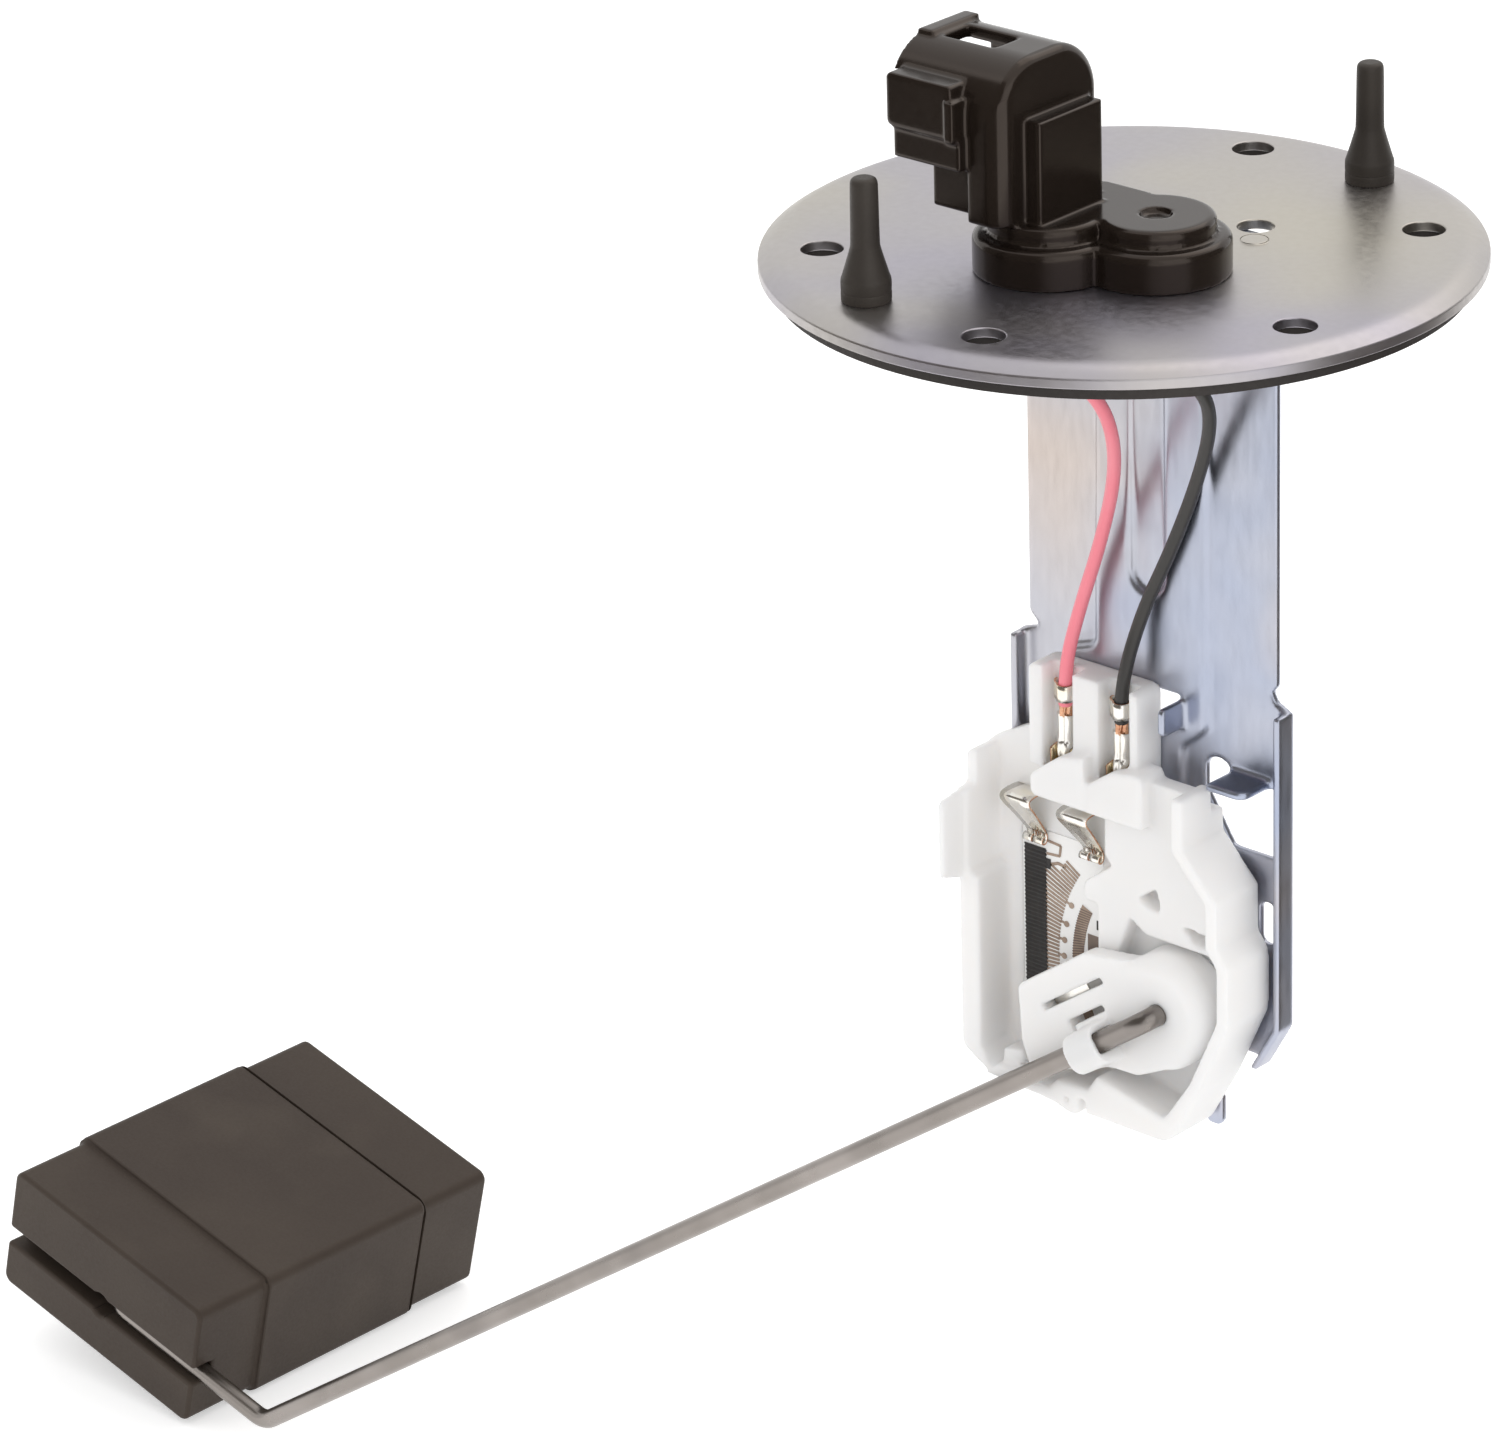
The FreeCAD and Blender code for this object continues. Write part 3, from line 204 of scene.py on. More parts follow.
def dim_board(name, first, last, bottom, top):
    """An upright dark board between two places on the floor, which only mirrors show."""
    board = stage_sheet(name, [(*first, bottom), (*last, bottom), (*last, top), (*first, top)], felt)
    board.visible_camera = False
    board.visible_diffuse = False
    board.visible_shadow = False
    board.visible_transmission = False


paper, paper_tree, paper_shader = matt_material("white_paper", (0.86, 0.86, 0.86))
paper_shader.inputs["Roughness"].default_value = 0.9
glow = paper_tree.nodes.new("ShaderNodeEmission")
glow.inputs["Color"].default_value = (1, 1, 1, 1)
faint = combine(paper_tree, "ShaderNodeMath", "MULTIPLY", seen_directly(paper_tree), FLOOR_GLOW)
feed(paper_tree, glow.inputs["Strength"], faint)
both = paper_tree.nodes.new("ShaderNodeAddShader")
feed(paper_tree, both.inputs[0], paper_shader.outputs[0])
feed(paper_tree, both.inputs[1], glow.outputs[0])
feed(paper_tree, paper_tree.nodes["Material Output"].inputs["Surface"], both.outputs[0])
felt, _, felt_shader = matt_material("dark_felt", (0.16, 0.145, 0.13))
felt_shader.inputs["Roughness"].default_value = 1.0
felt_shader.inputs["Specular IOR Level"].default_value = 0.0

floor_level = min(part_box("float")[0].z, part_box("float_arm")[0].z) - FLOOR_GAP
stage_sheet("floor", [(x * FLOOR_REACH, y * FLOOR_REACH, floor_level)
                      for x, y in ((-1, -1), (1, -1), (1, 1), (-1, 1))], paper)
dim_board("board_right", (0.13, -0.01), (0.13, 0.27), floor_level, 0.10)
dim_board("board_front", (-0.50, -0.17), (0.10, -0.17), -0.066, 0.30)
print("floor at", round(floor_level / MM, 1), "mm")

# %% [markdown]
# ## Effects that several finishes share
# A real surface is never one flat colour. Three small node groups give what most of the
# finishes need: slow clouds between three colours, as in a zinc plating; a fine grain that
# changes gloss and height, as on rubber and mouldings; and long drawn lines, as on wire and
# rolled sheet. Each is made once and used with its own values.


# %% Nodes that the effects are made of
def new_group(name, inputs, outputs):
    """An empty node group with named sockets: the group, what comes in and what goes out."""
    group = bpy.data.node_groups.new(name, "ShaderNodeTree")
    for title, kind, start in inputs:
        socket = group.interface.new_socket(title, in_out="INPUT", socket_type=kind)
        if start is not None:
            socket.default_value = start
    for title, kind in outputs:
        group.interface.new_socket(title, in_out="OUTPUT", socket_type=kind)
    return group, group.nodes.new("NodeGroupInput").outputs, group.nodes.new("NodeGroupOutput").inputs


def noise(group, vector, scale, detail, roughness=0.5):
    """A noise pattern read at a vector."""
    node = group.nodes.new("ShaderNodeTexNoise")
    values = {"Vector": vector, "Scale": scale, "Detail": detail, "Roughness": roughness}
    for title, value in values.items():
        feed(group, node.inputs[title], value)
    return node.outputs["Fac"]


def spread(group, value, low, high, out_low, out_high):
    """A value moved from one range to another, clamped."""
    node = group.nodes.new("ShaderNodeMapRange")
    values = {"Value": value, "From Min": low, "From Max": high, "To Min": out_low, "To Max": out_high}
    for title, number in values.items():
        feed(group, node.inputs[title], number)
    return node.outputs["Result"]


def mixed(group, share, first, second):
    """A colour between two others."""
    node = group.nodes.new("ShaderNodeMix")
    node.data_type = "RGBA"
    for title, value in {"Factor": share, "A": first, "B": second}.items():
        feed(group, node.inputs[title], value)
    return node.outputs["Result"]


# %% Shared effects
COLOUR, NUMBER, VECTOR = "NodeSocketColor", "NodeSocketFloat", "NodeSocketVector"
SECOND_CLOUDS_SHIFT = (3.1, 7.7, 1.3)

clouds, given, result = new_group("clouds", [
    ("Vector", VECTOR, None), ("Scale", NUMBER, 30.0), ("Colour A", COLOUR, (1, 1, 1, 1)),
    ("Colour B", COLOUR, (0, 0, 0, 1)), ("Colour C", COLOUR, (0.5, 0.5, 0.5, 1))], [("Colour", COLOUR)])
first_clouds = noise(clouds, given["Vector"], given["Scale"], detail=3.0)
shifted = combine(clouds, "ShaderNodeVectorMath", "ADD", given["Vector"], SECOND_CLOUDS_SHIFT)
second_clouds = noise(clouds, shifted, given["Scale"], detail=2.0)
two_colours = mixed(clouds, spread(clouds, first_clouds, 0.38, 0.64, 0.0, 1.0),
                    given["Colour A"], given["Colour B"])
three_colours = mixed(clouds, spread(clouds, second_clouds, 0.50, 0.72, 0.0, 1.0),
                      two_colours, given["Colour C"])
feed(clouds, result["Colour"], three_colours)

grain, given, result = new_group("grain", [
    ("Vector", VECTOR, None), ("Scale", NUMBER, 1500.0), ("Low", NUMBER, 0.4), ("High", NUMBER, 0.6)],
    [("Value", NUMBER), ("Height", NUMBER)])
fine = noise(grain, given["Vector"], given["Scale"], detail=4.0, roughness=0.6)
feed(grain, result["Value"], spread(grain, fine, 0.3, 0.7, given["Low"], given["High"]))
feed(grain, result["Height"], fine)

drawn, given, result = new_group("drawn_lines", [
    ("Vector", VECTOR, None), ("Stretch", VECTOR, (1.0, 1.0, 1.0)), ("Scale", NUMBER, 900.0),
    ("Low", NUMBER, 0.2), ("High", NUMBER, 0.4)], [("Value", NUMBER), ("Height", NUMBER)])
pulled = combine(drawn, "ShaderNodeVectorMath", "MULTIPLY", given["Vector"], given["Stretch"])
lines = noise(drawn, pulled, given["Scale"], detail=3.0)
feed(drawn, result["Value"], spread(drawn, lines, 0.3, 0.7, given["Low"], given["High"]))
feed(drawn, result["Height"], lines)
print("node groups:", [g.name for g in bpy.data.node_groups])

# %% [markdown]
# Every finish is put together in the same way. Its colour comes from the clouds. Its gloss
# and its height come from the grain or from the drawn lines, so what is rougher also stands
# a little higher. What stays the same all over a piece is set once on its shader.

# %% A finish from its parts
BUMP_STRENGTH = 0.6
MILKY_RADIUS = (1.0, 0.96, 0.92)
MILKY_DEPTH = 2.0 * MM


def use(tree, group, place, values):
    """Places a shared effect in a material with its own values."""
    node = tree.nodes.new("ShaderNodeGroup")
    node.node_tree = group
    tree.links.new(place, node.inputs["Vector"])
    for title, value in values.items():
        node.inputs[title].default_value = value
    return node.outputs


def finish(name, colours, clouds_scale, effect, effect_values, depth,
           metallic=0.0, subsurface=0.0, specular=0.5, shine=(1.0, 1.0, 1.0)):
    """A material of clouds between three colours, with a finer effect in its gloss and height."""
    material = bpy.data.materials.new(name)
    material.use_nodes = True
    tree = material.node_tree
    shader = tree.nodes["Principled BSDF"]
    shader.inputs["Metallic"].default_value = metallic
    shader.inputs["Specular IOR Level"].default_value = specular
    shader.inputs["Specular Tint"].default_value = (*shine, 1)
    if subsurface:
        shader.inputs["Subsurface Weight"].default_value = subsurface
        shader.inputs["Subsurface Radius"].default_value = MILKY_RADIUS
        shader.inputs["Subsurface Scale"].default_value = MILKY_DEPTH
    place = tree.nodes.new("ShaderNodeTexCoord").outputs["Object"]
    tint = {f"Colour {letter}": (*colour, 1) for letter, colour in zip("ABC", colours)}
    coloured = use(tree, clouds, place, {"Scale": clouds_scale, **tint})
    finer = use(tree, effect, place, effect_values)
    bump = tree.nodes.new("ShaderNodeBump")
    bump.inputs["Strength"].default_value = BUMP_STRENGTH
    bump.inputs["Distance"].default_value = depth * MM
    tree.links.new(coloured["Colour"], shader.inputs["Base Color"])
    tree.links.new(finer["Value"], shader.inputs["Roughness"])
    tree.links.new(finer["Height"], bump.inputs["Height"])
    tree.links.new(bump.outputs["Normal"], shader.inputs["Normal"])
    return material


def grained(name, colours, clouds_scale, gloss, grain_scale, depth, **shader_values):
    """A finish with a fine grain between two roughnesses, raised by a depth in millimetres."""
    values = {"Scale": grain_scale, "Low": gloss[0], "High": gloss[1]}
    return finish(name, colours, clouds_scale, grain, values, depth, **shader_values)


def drawn_metal(name, colours, clouds_scale, gloss, stretch, depth):
    """A metal with fine lines along the direction in which it was rolled or drawn."""
    values = {"Stretch": stretch, "Low": gloss[0], "High": gloss[1]}
    return finish(name, colours, clouds_scale, drawn, values, depth, metallic=1.0)


# %% [markdown]
# ## The finishes
# Zinc plating is a satin grey metal with a faint rainbow: lilac and straw on the plate,
# blue with warm streaks on the bracket. Natural acetal is milk white and lets a little light
# through, so it has some subsurface scattering. The connector is a glossy black moulding,
# and the float and the caps are matt rubber.

# %% Metals
plate_zinc = drawn_metal(
    "plate_zinc", [(0.47, 0.45, 0.44), (0.43, 0.41, 0.47), (0.52, 0.49, 0.43)],
    clouds_scale=20.0, gloss=(0.34, 0.42), stretch=(1.0, 1.0, 1.0), depth=0.002)
bracket_zinc = drawn_metal(
    "bracket_zinc", [(0.38, 0.43, 0.56), (0.50, 0.50, 0.54), (0.58, 0.51, 0.47)],
    clouds_scale=24.0, gloss=(0.30, 0.40), stretch=(1.0, 1.0, 0.25), depth=0.003)
arm_steel = drawn_metal(
    "arm_steel", [(0.26, 0.235, 0.215), (0.33, 0.30, 0.28), (0.22, 0.20, 0.185)],
    clouds_scale=60.0, gloss=(0.24, 0.36), stretch=(0.12, 1.0, 0.12), depth=0.006)
stud_steel = drawn_metal(
    "stud_steel", [(0.48, 0.47, 0.46), (0.40, 0.40, 0.41), (0.52, 0.50, 0.46)],
    clouds_scale=80.0, gloss=(0.25, 0.40), stretch=(1.0, 1.0, 0.2), depth=0.01)
tinned = grained(
    "tinned_brass", [(0.86, 0.84, 0.79), (0.80, 0.78, 0.74), (0.88, 0.82, 0.68)],
    clouds_scale=300.0, gloss=(0.14, 0.26), grain_scale=2500.0, depth=0.004, metallic=1.0)
brass = grained(
    "bare_brass", [(0.70, 0.56, 0.34), (0.78, 0.66, 0.44), (0.60, 0.46, 0.26)],
    clouds_scale=300.0, gloss=(0.16, 0.30), grain_scale=2500.0, depth=0.004, metallic=1.0)
copper = grained(
    "copper_strands", [(0.70, 0.40, 0.25), (0.55, 0.27, 0.16), (0.80, 0.52, 0.34)],
    clouds_scale=500.0, gloss=(0.20, 0.36), grain_scale=3000.0, depth=0.006, metallic=1.0)
metals = [plate_zinc, bracket_zinc, arm_steel, stud_steel, tinned, brass, copper]
print("metals:", [m.name for m in metals])

# %% Plastics and rubbers
black_gloss = grained(
    "black_moulding", [(0.0110, 0.0075, 0.0056), (0.0135, 0.0095, 0.0072), (0.0095, 0.0065, 0.0050)],
    clouds_scale=60.0, gloss=(0.16, 0.22), grain_scale=1800.0, depth=0.0006, shine=(1.0, 0.84, 0.74))
acetal = grained(
    "natural_acetal", [(0.89, 0.878, 0.868), (0.875, 0.87, 0.868), (0.90, 0.885, 0.87)],
    clouds_scale=45.0, gloss=(0.38, 0.50), grain_scale=1200.0, depth=0.004, subsurface=0.85)
float_rubber = grained(
    "float_rubber", [(0.044, 0.033, 0.0255), (0.038, 0.028, 0.022), (0.051, 0.039, 0.030)],
    clouds_scale=55.0, gloss=(0.46, 0.58), grain_scale=2200.0, depth=0.02,
    specular=0.30, shine=(1.0, 0.88, 0.80))
cap_rubber = grained(
    "cap_moulding", [(0.042, 0.036, 0.031), (0.036, 0.031, 0.027), (0.049, 0.042, 0.036)],
    clouds_scale=90.0, gloss=(0.42, 0.54), grain_scale=2500.0, depth=0.01,
    specular=0.32, shine=(1.0, 0.92, 0.86))
gasket_rubber = grained(
    "gasket_sheet", [(0.030, 0.024, 0.021), (0.024, 0.019, 0.017), (0.040, 0.032, 0.028)],
    clouds_scale=60.0, gloss=(0.55, 0.70), grain_scale=1500.0, depth=0.03)
pink_lead = grained(
    "pink_wire_skin", [(0.98, 0.27, 0.33), (0.96, 0.25, 0.31), (0.98, 0.29, 0.35)],
    clouds_scale=90.0, gloss=(0.34, 0.44), grain_scale=2500.0, depth=0.01, specular=0.45)
black_lead = grained(
    "black_wire_skin", [(0.036, 0.033, 0.030), (0.030, 0.028, 0.026), (0.043, 0.039, 0.035)],
    clouds_scale=90.0, gloss=(0.34, 0.44), grain_scale=2500.0, depth=0.01, specular=0.45)
soft_finishes = [black_gloss, acetal, float_rubber, cap_rubber, gasket_rubber, pink_lead, black_lead]
print("plastics and rubbers:", [m.name for m in soft_finishes])

# %% Ceramic and print
ceramic = grained(
    "card_ceramic", [(0.95, 0.945, 0.935), (0.93, 0.925, 0.915), (0.95, 0.94, 0.93)],
    clouds_scale=80.0, gloss=(0.40, 0.52), grain_scale=3000.0, depth=0.006)
resistor_ink = grained(
    "printed_resistor", [(0.013, 0.011, 0.010), (0.022, 0.019, 0.018), (0.009, 0.0075, 0.007)],
    clouds_scale=160.0, gloss=(0.40, 0.55), grain_scale=3500.0, depth=0.02)
track_ink = grained(
    "track_ink", [(0.34, 0.25, 0.19), (0.28, 0.20, 0.15), (0.42, 0.32, 0.25)],
    clouds_scale=250.0, gloss=(0.35, 0.50), grain_scale=3000.0, depth=0.006, metallic=0.2)
dark_track = grained(
    "dark_track", [(0.16, 0.115, 0.09), (0.12, 0.085, 0.07), (0.20, 0.15, 0.12)],
    clouds_scale=250.0, gloss=(0.35, 0.50), grain_scale=3000.0, depth=0.006, metallic=0.2)
print("card:", [m.name for m in (ceramic, resistor_ink, track_ink, dark_track)])

# %% [markdown]
# ## Mouldings and pressings with soft edges
# A CAD solid has knife edges. A real moulding has none: its outer edges are rounded and its
# inner corners are filled, because the melt flows and shrinks, and a pressed sheet bends
# softly for the same reason. A voxel remesh turns a copy of the solid into small even quads,
# and a few rounds of smoothing then round every edge and corner by about one voxel, while
# flat faces and large curves stay where they are. The plate and the float have large plain
# faces, so they keep their own faces, and a bevel of an even width runs along their sharp
# edges.


# %% Copies of the solids
def lay_material(obj, *materials):
    """Gives a piece its finishes, in the order of its slots."""
    obj.data.materials.clear()
    for material in materials:
        obj.data.materials.append(material)


def merged_copy(node):
    """A copy of a CAD solid's mesh with its loose corners joined and no stored shading."""
    mesh = bpy.data.meshes.new(node + "_skin")
    work = bmesh.new()
    work.from_mesh(frame["nodes"][node].data)
    bmesh.ops.remove_doubles(work, verts=work.verts, dist=0.002 * MM)
    work.to_mesh(mesh)
    work.free()
    for name in ("custom_normal", "sharp_face", "sharp_edge"):
        if name in mesh.attributes:
            mesh.attributes.remove(mesh.attributes[name])
    return mesh


def dressed_copy(node, ending, material):
    """An object with a copy of a CAD solid, which moves with the solid's body and stands for it."""
    obj = bpy.data.objects.new(node + ending, merged_copy(node))
    bpy.context.scene.collection.objects.link(obj)
    lay_material(obj, material)
    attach(obj, frame["nodes"][node]["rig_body"])
    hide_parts(node)
    return obj


def keep(node, material):
    """A CAD solid whose shape is right keeps its mesh and gets a finish."""
    solid = frame["nodes"][node]
    if not solid.material_slots:
        solid.data.materials.append(material)
    for place in solid.material_slots:
        place.material = material


# %% Plate and float with an even edge radius
FLAT_ANGLE = math.radians(0.6)
EDGE_ANGLE = math.radians(30)


def edges_rounded(node, material, width, segments=3):
    """A CAD solid whose flat faces are joined and whose sharp edges get a small even radius."""
    obj = dressed_copy(node, "_rounded", material)
    work = bmesh.new()
    work.from_mesh(obj.data)
    bmesh.ops.dissolve_limit(work, angle_limit=FLAT_ANGLE, verts=work.verts, edges=work.edges)
    work.to_mesh(obj.data)
    work.free()
    bevel = obj.modifiers.new("edge_radius", "BEVEL")
    bevel.width = width * MM
    bevel.segments = segments
    bevel.limit_method = "ANGLE"
    bevel.angle_limit = EDGE_ANGLE
    bevel.use_clamp_overlap = False
    obj.data.shade_smooth()
    obj.data.set_sharp_from_angle(angle=EDGE_ANGLE)
    print(obj.name, len(obj.data.polygons), "faces")


edges_rounded("cover_plate", plate_zinc, width=0.16)
edges_rounded("float", float_rubber, width=0.6, segments=4)

# %% [markdown]
# The rotor's drum and the connector have edges that are much rounder than a voxel. A function
# moves the points of their even quads there before the smoothing. It works with the depth of
# a point inwards from the outline: at a depth d inside an edge of radius r, the surface
# stands back by r minus the root of r squared minus (r minus d) squared.

# %% Large edge radii
PIVOT_X, PIVOT_Z = 8.7, -100.4
ARM_ANGLE = math.radians(35)
ROTOR_FRONT = -5.0
DRUM_RADIUS, DRUM_EDGE = 7.6, 2.8
DRUM_FADE = 3.0
LEFT_TOWER, RIGHT_TOWER = (-0.9, -13.2), (10.2, -6.1)
TOWER_STEPS = ((9.3, 6.3, 1.1), (7.4, 8.65, 0.9))
COLUMN_LEFT, COLUMN_BACK, COLUMN_SLOPE = -3.0, -0.7, 0.16
ARCH_MIDDLE, ARCH_HALF, ARCH_CORNER, ARCH_TOP, ARCH_EDGE = -13.6, 9.3, 7.0, 29.1, 1.4
ARCH_FADE_FROM, ARCH_FADE_OVER = 17.0, 3.0


def rounding(depth, radius):
    """How far an edge with a radius stands back, at a depth inwards from the outline."""
    inside = np.clip(radius - depth, 0, radius)
    return radius - np.sqrt(radius ** 2 - inside ** 2)


def round_the_drum(spots):
    """The drum's front edge becomes a quarter circle, which fades out towards the wing."""
    x, y, z = (spots - (PIVOT_X, 0, PIVOT_Z)).T
    from_axis = np.hypot(x, z)
    towards_wing = -x * math.cos(ARM_ANGLE) - z * math.sin(ARM_ANGLE)
    share = np.clip((DRUM_FADE - towards_wing) / (2 * DRUM_FADE), 0, 1)
    setback = rounding(DRUM_RADIUS - from_axis, DRUM_EDGE) * share ** 2 * (3 - 2 * share)
    on_drum = from_axis < DRUM_RADIUS + 0.3
    spots[:, 1] = np.where(on_drum, np.maximum(y, ROTOR_FRONT + setback), y)
    return spots


def round_the_towers(spots):
    """Places near the rim of each round step go onto a quarter circle about the middle of its edge."""
    for middle, other in ((LEFT_TOWER, RIGHT_TOWER), (RIGHT_TOWER, LEFT_TOWER)):
        for radius, top, edge in TOWER_STEPS:
            x, y, z = spots.T
            from_axis = np.hypot(x - middle[0], y - middle[1])
            across, rise = from_axis - (radius - edge), z - (top - edge)
            out = np.hypot(across, rise)
            before_column = y < LEFT_TOWER[1] + COLUMN_SLOPE * (x - COLUMN_LEFT)
            beside_column = (x > RIGHT_TOWER[0]) | (x < COLUMN_LEFT) | (y > COLUMN_BACK)
            outside_other = np.hypot(x - other[0], y - other[1]) > radius
            near_rim = (across > 0) & (across < edge + 0.3) & (rise > 0) & (rise < edge + 0.1) & (out > edge)
            moved = near_rim & outside_other & (before_column | beside_column)
            scale = np.where(moved, edge / np.maximum(out, edge), 1.0)
            ratio = np.where(moved, (radius - edge + across * scale) / np.maximum(from_axis, 1.0), 1.0)
            spots[:, 0] = middle[0] + (x - middle[0]) * ratio
            spots[:, 1] = middle[1] + (y - middle[1]) * ratio
            spots[:, 2] = np.where(moved, top - edge + rise * scale, z)
    return spots


def round_the_connector(spots):
    """The shroud's closed end stands back by the depth from its rounded outline; the towers follow."""
    x, y, z = spots.T
    side = np.abs(y - ARCH_MIDDLE) - (ARCH_HALF - ARCH_CORNER)
    rise = z - (ARCH_TOP - ARCH_CORNER)
    depth = ARCH_CORNER - np.hypot(np.clip(side, 0, None), np.clip(rise, 0, None))
    depth = np.where(rise < 0, ARCH_HALF - np.abs(y - ARCH_MIDDLE), depth)
    share = np.clip((z - ARCH_FADE_FROM) / ARCH_FADE_OVER, 0, 1)
    near_edge = (x > -ARCH_EDGE - 0.2) & (depth > -0.2) & (depth < ARCH_EDGE + 0.1) & (z > ARCH_FADE_FROM)
    spots[:, 0] = np.where(near_edge, np.minimum(x, -rounding(depth, ARCH_EDGE) * share), x)
    return round_the_towers(spots)


# %% Softened solids
def apply_to_points(obj, reshape):
    """Makes the modifiers' mesh the piece's own, and moves its points by a function of their places."""
    graph = bpy.context.evaluated_depsgraph_get()
    mesh = bpy.data.meshes.new_from_object(obj.evaluated_get(graph))
    obj.modifiers.clear()
    spots = np.empty(len(mesh.vertices) * 3)
    mesh.vertices.foreach_get("co", spots)
    spots = reshape(spots.reshape(-1, 3) / MM) * MM
    mesh.vertices.foreach_set("co", spots.ravel())
    mesh.update()
    obj.data = mesh


def softened(node, material, voxel, rounds, reshape=None):
    """A CAD solid with every edge rounded by about a voxel, which stands for the node."""
    obj = dressed_copy(node, "_soft", material)
    skin = obj.modifiers.new("even_quads", "REMESH")
    skin.mode = "VOXEL"
    skin.voxel_size = voxel * MM
    skin.use_smooth_shade = True
    if reshape:
        apply_to_points(obj, reshape)
    ease = obj.modifiers.new("soft_edges", "SMOOTH")
    ease.factor = 0.5
    ease.iterations = rounds
    shown = obj.evaluated_get(bpy.context.evaluated_depsgraph_get())
    print(obj.name, len(shown.data.polygons), "quads")


softened("bracket", bracket_zinc, voxel=0.36, rounds=4)
softened("sensor_body", acetal, voxel=0.30, rounds=10)
softened("rotor", acetal, voxel=0.22, rounds=8, reshape=round_the_drum)
softened("connector_housing", black_gloss, voxel=0.27, rounds=3, reshape=round_the_connector)

# %% Solids that keep their shape
kept_solids = {
    "gasket": gasket_rubber, "stud_left": stud_steel, "stud_right": stud_steel,
    "connector_blade_left": tinned, "connector_blade_right": tinned,
    "terminal_post_left": tinned, "terminal_post_right": tinned,
    "lead_grommet_left": black_gloss, "lead_grommet_right": black_gloss,
    "resistor_card": ceramic, "float_arm": arm_steel, "wiper": tinned}
for node, material in kept_solids.items():
    keep(node, material)
print("kept as they are:", len(kept_solids))

# %% [markdown]
# ## Making a mesh from arrays
# The small parts below are all surfaces of two parameters. Their points are worked out as
# whole numpy arrays in millimetres, and one helper turns a grid of points into quads, closes
# its poles, points its faces outwards and hands it to the body that carries it.

# %% Helpers for surfaces
CREASE_ANGLE = math.radians(35)


def grid_faces(rows, columns, closed=False):
    """Quads between neighbours of a grid numbered row by row; closed joins its last column to its first."""
    row, column = np.meshgrid(np.arange(rows - 1), np.arange(columns if closed else columns - 1),
                              indexing="ij")
    after = (column + 1) % columns
    corners = [row * columns + column, row * columns + after,
               (row + 1) * columns + after, (row + 1) * columns + column]
    return np.stack(corners, axis=-1).reshape(-1, 4)


def piece(name, points, faces, materials, body="sender", stands_for=(), smooth=True, solid=True):
    """A mesh piece from points in millimetres, merged, turned outwards and riding on a body."""
    mesh = bpy.data.meshes.new(name)
    mesh.from_pydata((np.asarray(points).reshape(-1, 3) * MM).tolist(), [], np.asarray(faces).tolist())
    work = bmesh.new()
    work.from_mesh(mesh)
    bmesh.ops.remove_doubles(work, verts=work.verts, dist=0.0005 * MM)
    bmesh.ops.dissolve_degenerate(work, edges=work.edges, dist=0.0005 * MM)
    if solid:
        bmesh.ops.recalc_face_normals(work, faces=work.faces)
    work.to_mesh(mesh)
    work.free()
    if smooth:
        mesh.shade_smooth()
        mesh.set_sharp_from_angle(angle=CREASE_ANGLE)
    obj = bpy.data.objects.new(name, mesh)
    bpy.context.scene.collection.objects.link(obj)
    lay_material(obj, *materials)
    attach(obj, body)
    if stands_for:
        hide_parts(*stands_for)
    print(name, len(mesh.polygons), "faces")
    return obj


def sheet_wall(obj, thickness):
    """Gives an open surface the thickness of a sheet, half on each side, and its rim the second finish."""
    wall = obj.modifiers.new("sheet", "SOLIDIFY")
    wall.thickness = thickness * MM
    wall.offset = 0
    wall.material_offset_rim = 1


def rounded(points, rounds):
    """A line with its corners cut: each round puts points at a quarter and three quarters of each run."""
    line = np.asarray(points, dtype=float)
    for _ in range(rounds):
        near = 0.75 * line[:-1] + 0.25 * line[1:]
        far = 0.25 * line[:-1] + 0.75 * line[1:]
        line = np.concatenate([line[:1], np.stack([near, far], axis=1).reshape(-1, line.shape[1]), line[-1:]])
    return line


# %% [markdown]
# ## Rubber caps on the studs
# Each stud is covered by a soft cap: a short straight foot, a cone and a long thin shaft with
# a domed end. It is a turned shape, so its profile is carried round the axis. The foot has a
# fine parting line a little above the plate.

# %% Caps
STUD_RADIUS, STUD_DEPTH = 1.3, 11.75


def lathe(name, profile, middle, material, node, segments=96):
    """A turned piece: each profile row (r, z) goes round the axis as (r cos a, r sin a, z)."""
    radius, level = np.asarray(profile, dtype=float).T
    angle = np.linspace(0, 2 * math.pi, segments, endpoint=False)
    points = np.stack([middle[0] + radius[:, None] * np.cos(angle),
                       middle[1] + radius[:, None] * np.sin(angle),
                       level[:, None] + 0 * angle], axis=-1)
    piece(name, points, grid_faces(len(radius), segments, closed=True), (material,), stands_for=(node,))


for side in ("left", "right"):
    low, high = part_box(f"stud_cap_{side}")
    cap_middle = ((low.x + high.x) / 2 / MM, (low.y + high.y) / 2 / MM)
    foot, tip = low.z / MM, high.z / MM
    outside = rounded([
        (3.0, foot), (3.1, foot + 0.15), (3.1, foot + 1.25), (3.02, foot + 1.33), (3.1, foot + 1.41),
        (3.1, foot + 2.75), (2.95, foot + 3.05), (1.86, foot + 6.7), (1.78, foot + 7.3),
        (1.72, tip - 1.3), (1.66, tip - 0.35), (1.2, tip), (0.6, tip), (0, tip)], rounds=2)
    inside = [(0, foot + STUD_DEPTH), (STUD_RADIUS, foot + STUD_DEPTH), (STUD_RADIUS, foot)]
    lathe(f"cap_{side}", np.concatenate([inside, outside]), cap_middle, cap_rubber, f"stud_cap_{side}")

